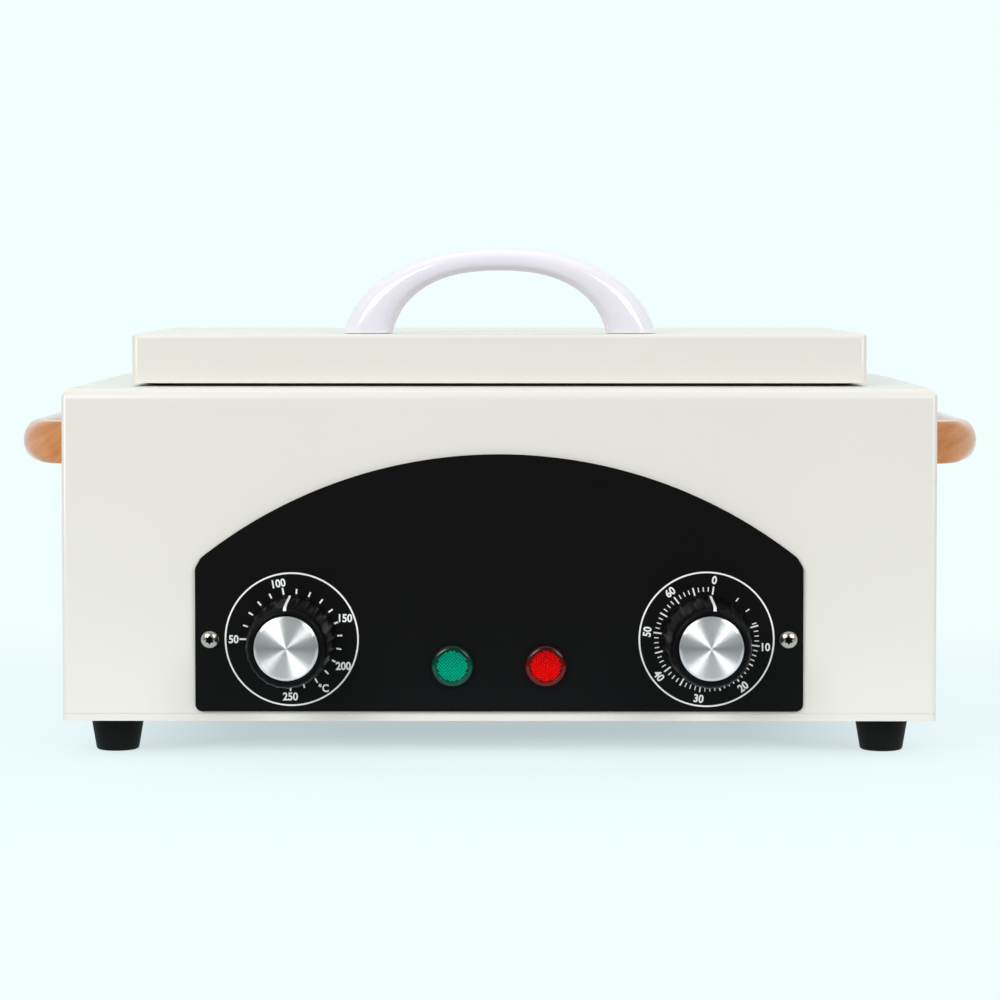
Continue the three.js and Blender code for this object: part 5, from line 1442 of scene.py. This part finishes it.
def floor_material(backdrop):
    """Pale paper: it takes a soft shadow near the object and runs into the background further out.

    Towards the front it grows dark for what the object reflects, as the unlit room behind the camera does.
    """
    material, tree = blank_material("pale paper")
    place = add(tree, "ShaderNodeTexCoord", out="Object")
    size = add(tree, "ShaderNodeVectorMath", {0: place}, operation="ABSOLUTE")
    past = add(tree, "ShaderNodeVectorMath", {0: size, 1: CASE_HALF}, operation="SUBTRACT")
    beyond = add(tree, "ShaderNodeSeparateXYZ", {0: past}).node.outputs
    reach = add(tree, "ShaderNodeMath", {0: beyond[0], 1: beyond[1]}, operation="MAXIMUM")
    shares = []
    for low, high, start, end in ((-0.07, 0.01, SHADE_UNDER, SHADE_BEYOND), (0.01, 0.3, 1.0, 0.0)):
        limits = {0: reach, 1: low, 2: high, 3: start, 4: end}
        shares.append(add(tree, "ShaderNodeMapRange", limits, interpolation_type="SMOOTHSTEP"))
    near = add(tree, "ShaderNodeMath", dict(enumerate(shares)), operation="MULTIPLY")
    paper = add(tree, "ShaderNodeBsdfDiffuse", {"Color": colour4(linear("#dcf6ff"))})
    front = add(tree, "ShaderNodeSeparateXYZ", {0: place}, "Y")
    lit = add(tree, "ShaderNodeMapRange", {0: front, 1: -0.36, 2: -0.14})
    bounce = add(tree, "ShaderNodeMapRange", {0: lit, 3: DARK_FLOOR, 4: 0.72})
    tones = {0: backdrop_share(tree, lit), 6: bounce, 7: colour4(backdrop)}
    tone = add(tree, "ShaderNodeMix", tones, 2, data_type="RGBA")
    inputs = {0: near, 1: add(tree, "ShaderNodeEmission", {"Color": tone}), 2: paper}
    add(tree, "ShaderNodeOutputMaterial", {"Surface": add(tree, "ShaderNodeMixShader", inputs)})
    return material


class STERILIZER_OT_stage(bpy.types.Operator):
    """Floor, background, lights and camera"""

    bl_idname = "sterilizer.stage"
    bl_label = "Stage"

    def execute(self, context):
        settings, scene = context.scene.sterilizer_stage, context.scene
        sheet = bmesh.new()
        bmesh.ops.create_grid(sheet, x_segments=1, y_segments=1, size=6000)
        bmesh.ops.translate(sheet, verts=sheet.verts[:], vec=(0, 0, -0.2))
        piece("floor", sheet, floor_material(settings.backdrop))
        scene.world = self.surround(settings)
        for name, (size, place) in LIGHTS.items():
            light = bpy.data.lights.new(name, "AREA")
            light.shape = "RECTANGLE"
            light.size, light.size_y = size
            light.energy = getattr(settings, name)
            lamp = new_object(name, light)
            lamp.location = place
            lamp.rotation_euler = (TARGET - Vector(place)).to_track_quat("-Z", "Y").to_euler()
        camera = bpy.data.cameras.new("camera")
        camera.lens = settings.lens
        camera.sensor_width = 36
        camera.shift_x, camera.shift_y = CAMERA_SHIFT
        camera.clip_start = 0.05
        scene.camera = new_object("camera", camera)
        scene.camera.location = CAMERA_PLACE
        scene.camera.rotation_euler = [radians(turn) for turn in CAMERA_TURN]
        scene.view_settings.view_transform = "Standard"
        return {"FINISHED"}

    def surround(self, settings):
        """Light from all round, weak behind the camera, with the backdrop's colour where no lamp is wanted."""
        world = bpy.data.worlds.new("surround")
        world.use_nodes = True
        tree = world.node_tree
        tree.nodes.clear()
        way = add(tree, "ShaderNodeTexCoord", out="Generated")
        depth = add(tree, "ShaderNodeSeparateXYZ", {0: way}, "Y")
        behind = add(tree, "ShaderNodeMapRange", {0: depth, 1: -0.9, 2: 0.5})
        level = add(tree, "ShaderNodeMapRange", {0: behind, 3: DARK_ROOM * settings.sky, 4: settings.sky})
        light = add(tree, "ShaderNodeBackground", {"Color": (1.0, 0.995, 1.0, 1), "Strength": level})
        inputs = {"Color": colour4(settings.backdrop), "Strength": 1.0}
        plain = add(tree, "ShaderNodeBackground", inputs)
        inputs = {0: backdrop_share(tree, behind), 1: light, 2: plain}
        add(tree, "ShaderNodeOutputWorld", {"Surface": add(tree, "ShaderNodeMixShader", inputs)})
        return world


# Panel and registration


SETTINGS = {
    "sterilizer_case": CaseSettings,
    "sterilizer_panel": PanelSettings,
    "sterilizer_dials": DialSettings,
    "sterilizer_lamps": LampSettings,
    "sterilizer_handles": HandleSettings,
    "sterilizer_chamber": ChamberSettings,
    "sterilizer_stage": StageSettings,
}

OPERATORS = (
    STERILIZER_OT_case,
    STERILIZER_OT_feet,
    STERILIZER_OT_panel,
    STERILIZER_OT_dials,
    STERILIZER_OT_lamps,
    STERILIZER_OT_side_handles,
    STERILIZER_OT_lid,
    STERILIZER_OT_chamber,
    STERILIZER_OT_hinges,
    STERILIZER_OT_inlet,
    STERILIZER_OT_inner_parts,
    STERILIZER_OT_stage,
)


class STERILIZER_PT_sidebar(bpy.types.Panel):
    """Lists the sterilizer's settings and the buttons that build it"""

    bl_label = "Dry Heat Sterilizer"
    bl_space_type = "VIEW_3D"
    bl_region_type = "UI"
    bl_category = "Sterilizer"

    def draw(self, context):
        for name in SETTINGS:
            box = self.layout.box()
            group = getattr(context.scene, name)
            for key in group.bl_rna.properties.keys():
                if key not in ("rna_type", "name"):
                    box.prop(group, key)
        for operator in OPERATORS:
            self.layout.operator(operator.bl_idname)


def register():
    for entry in (*SETTINGS.values(), *OPERATORS, STERILIZER_PT_sidebar):
        bpy.utils.register_class(entry)
    for name, group in SETTINGS.items():
        setattr(bpy.types.Scene, name, PointerProperty(type=group))


def unregister():
    for name in SETTINGS:
        delattr(bpy.types.Scene, name)
    for entry in (STERILIZER_PT_sidebar, *reversed(OPERATORS), *reversed(tuple(SETTINGS.values()))):
        bpy.utils.unregister_class(entry)


def main():
    register()
    for operator in OPERATORS:
        category, name = operator.bl_idname.split(".")
        getattr(getattr(bpy.ops, category), name)()


if __name__ == "__main__":
    main()
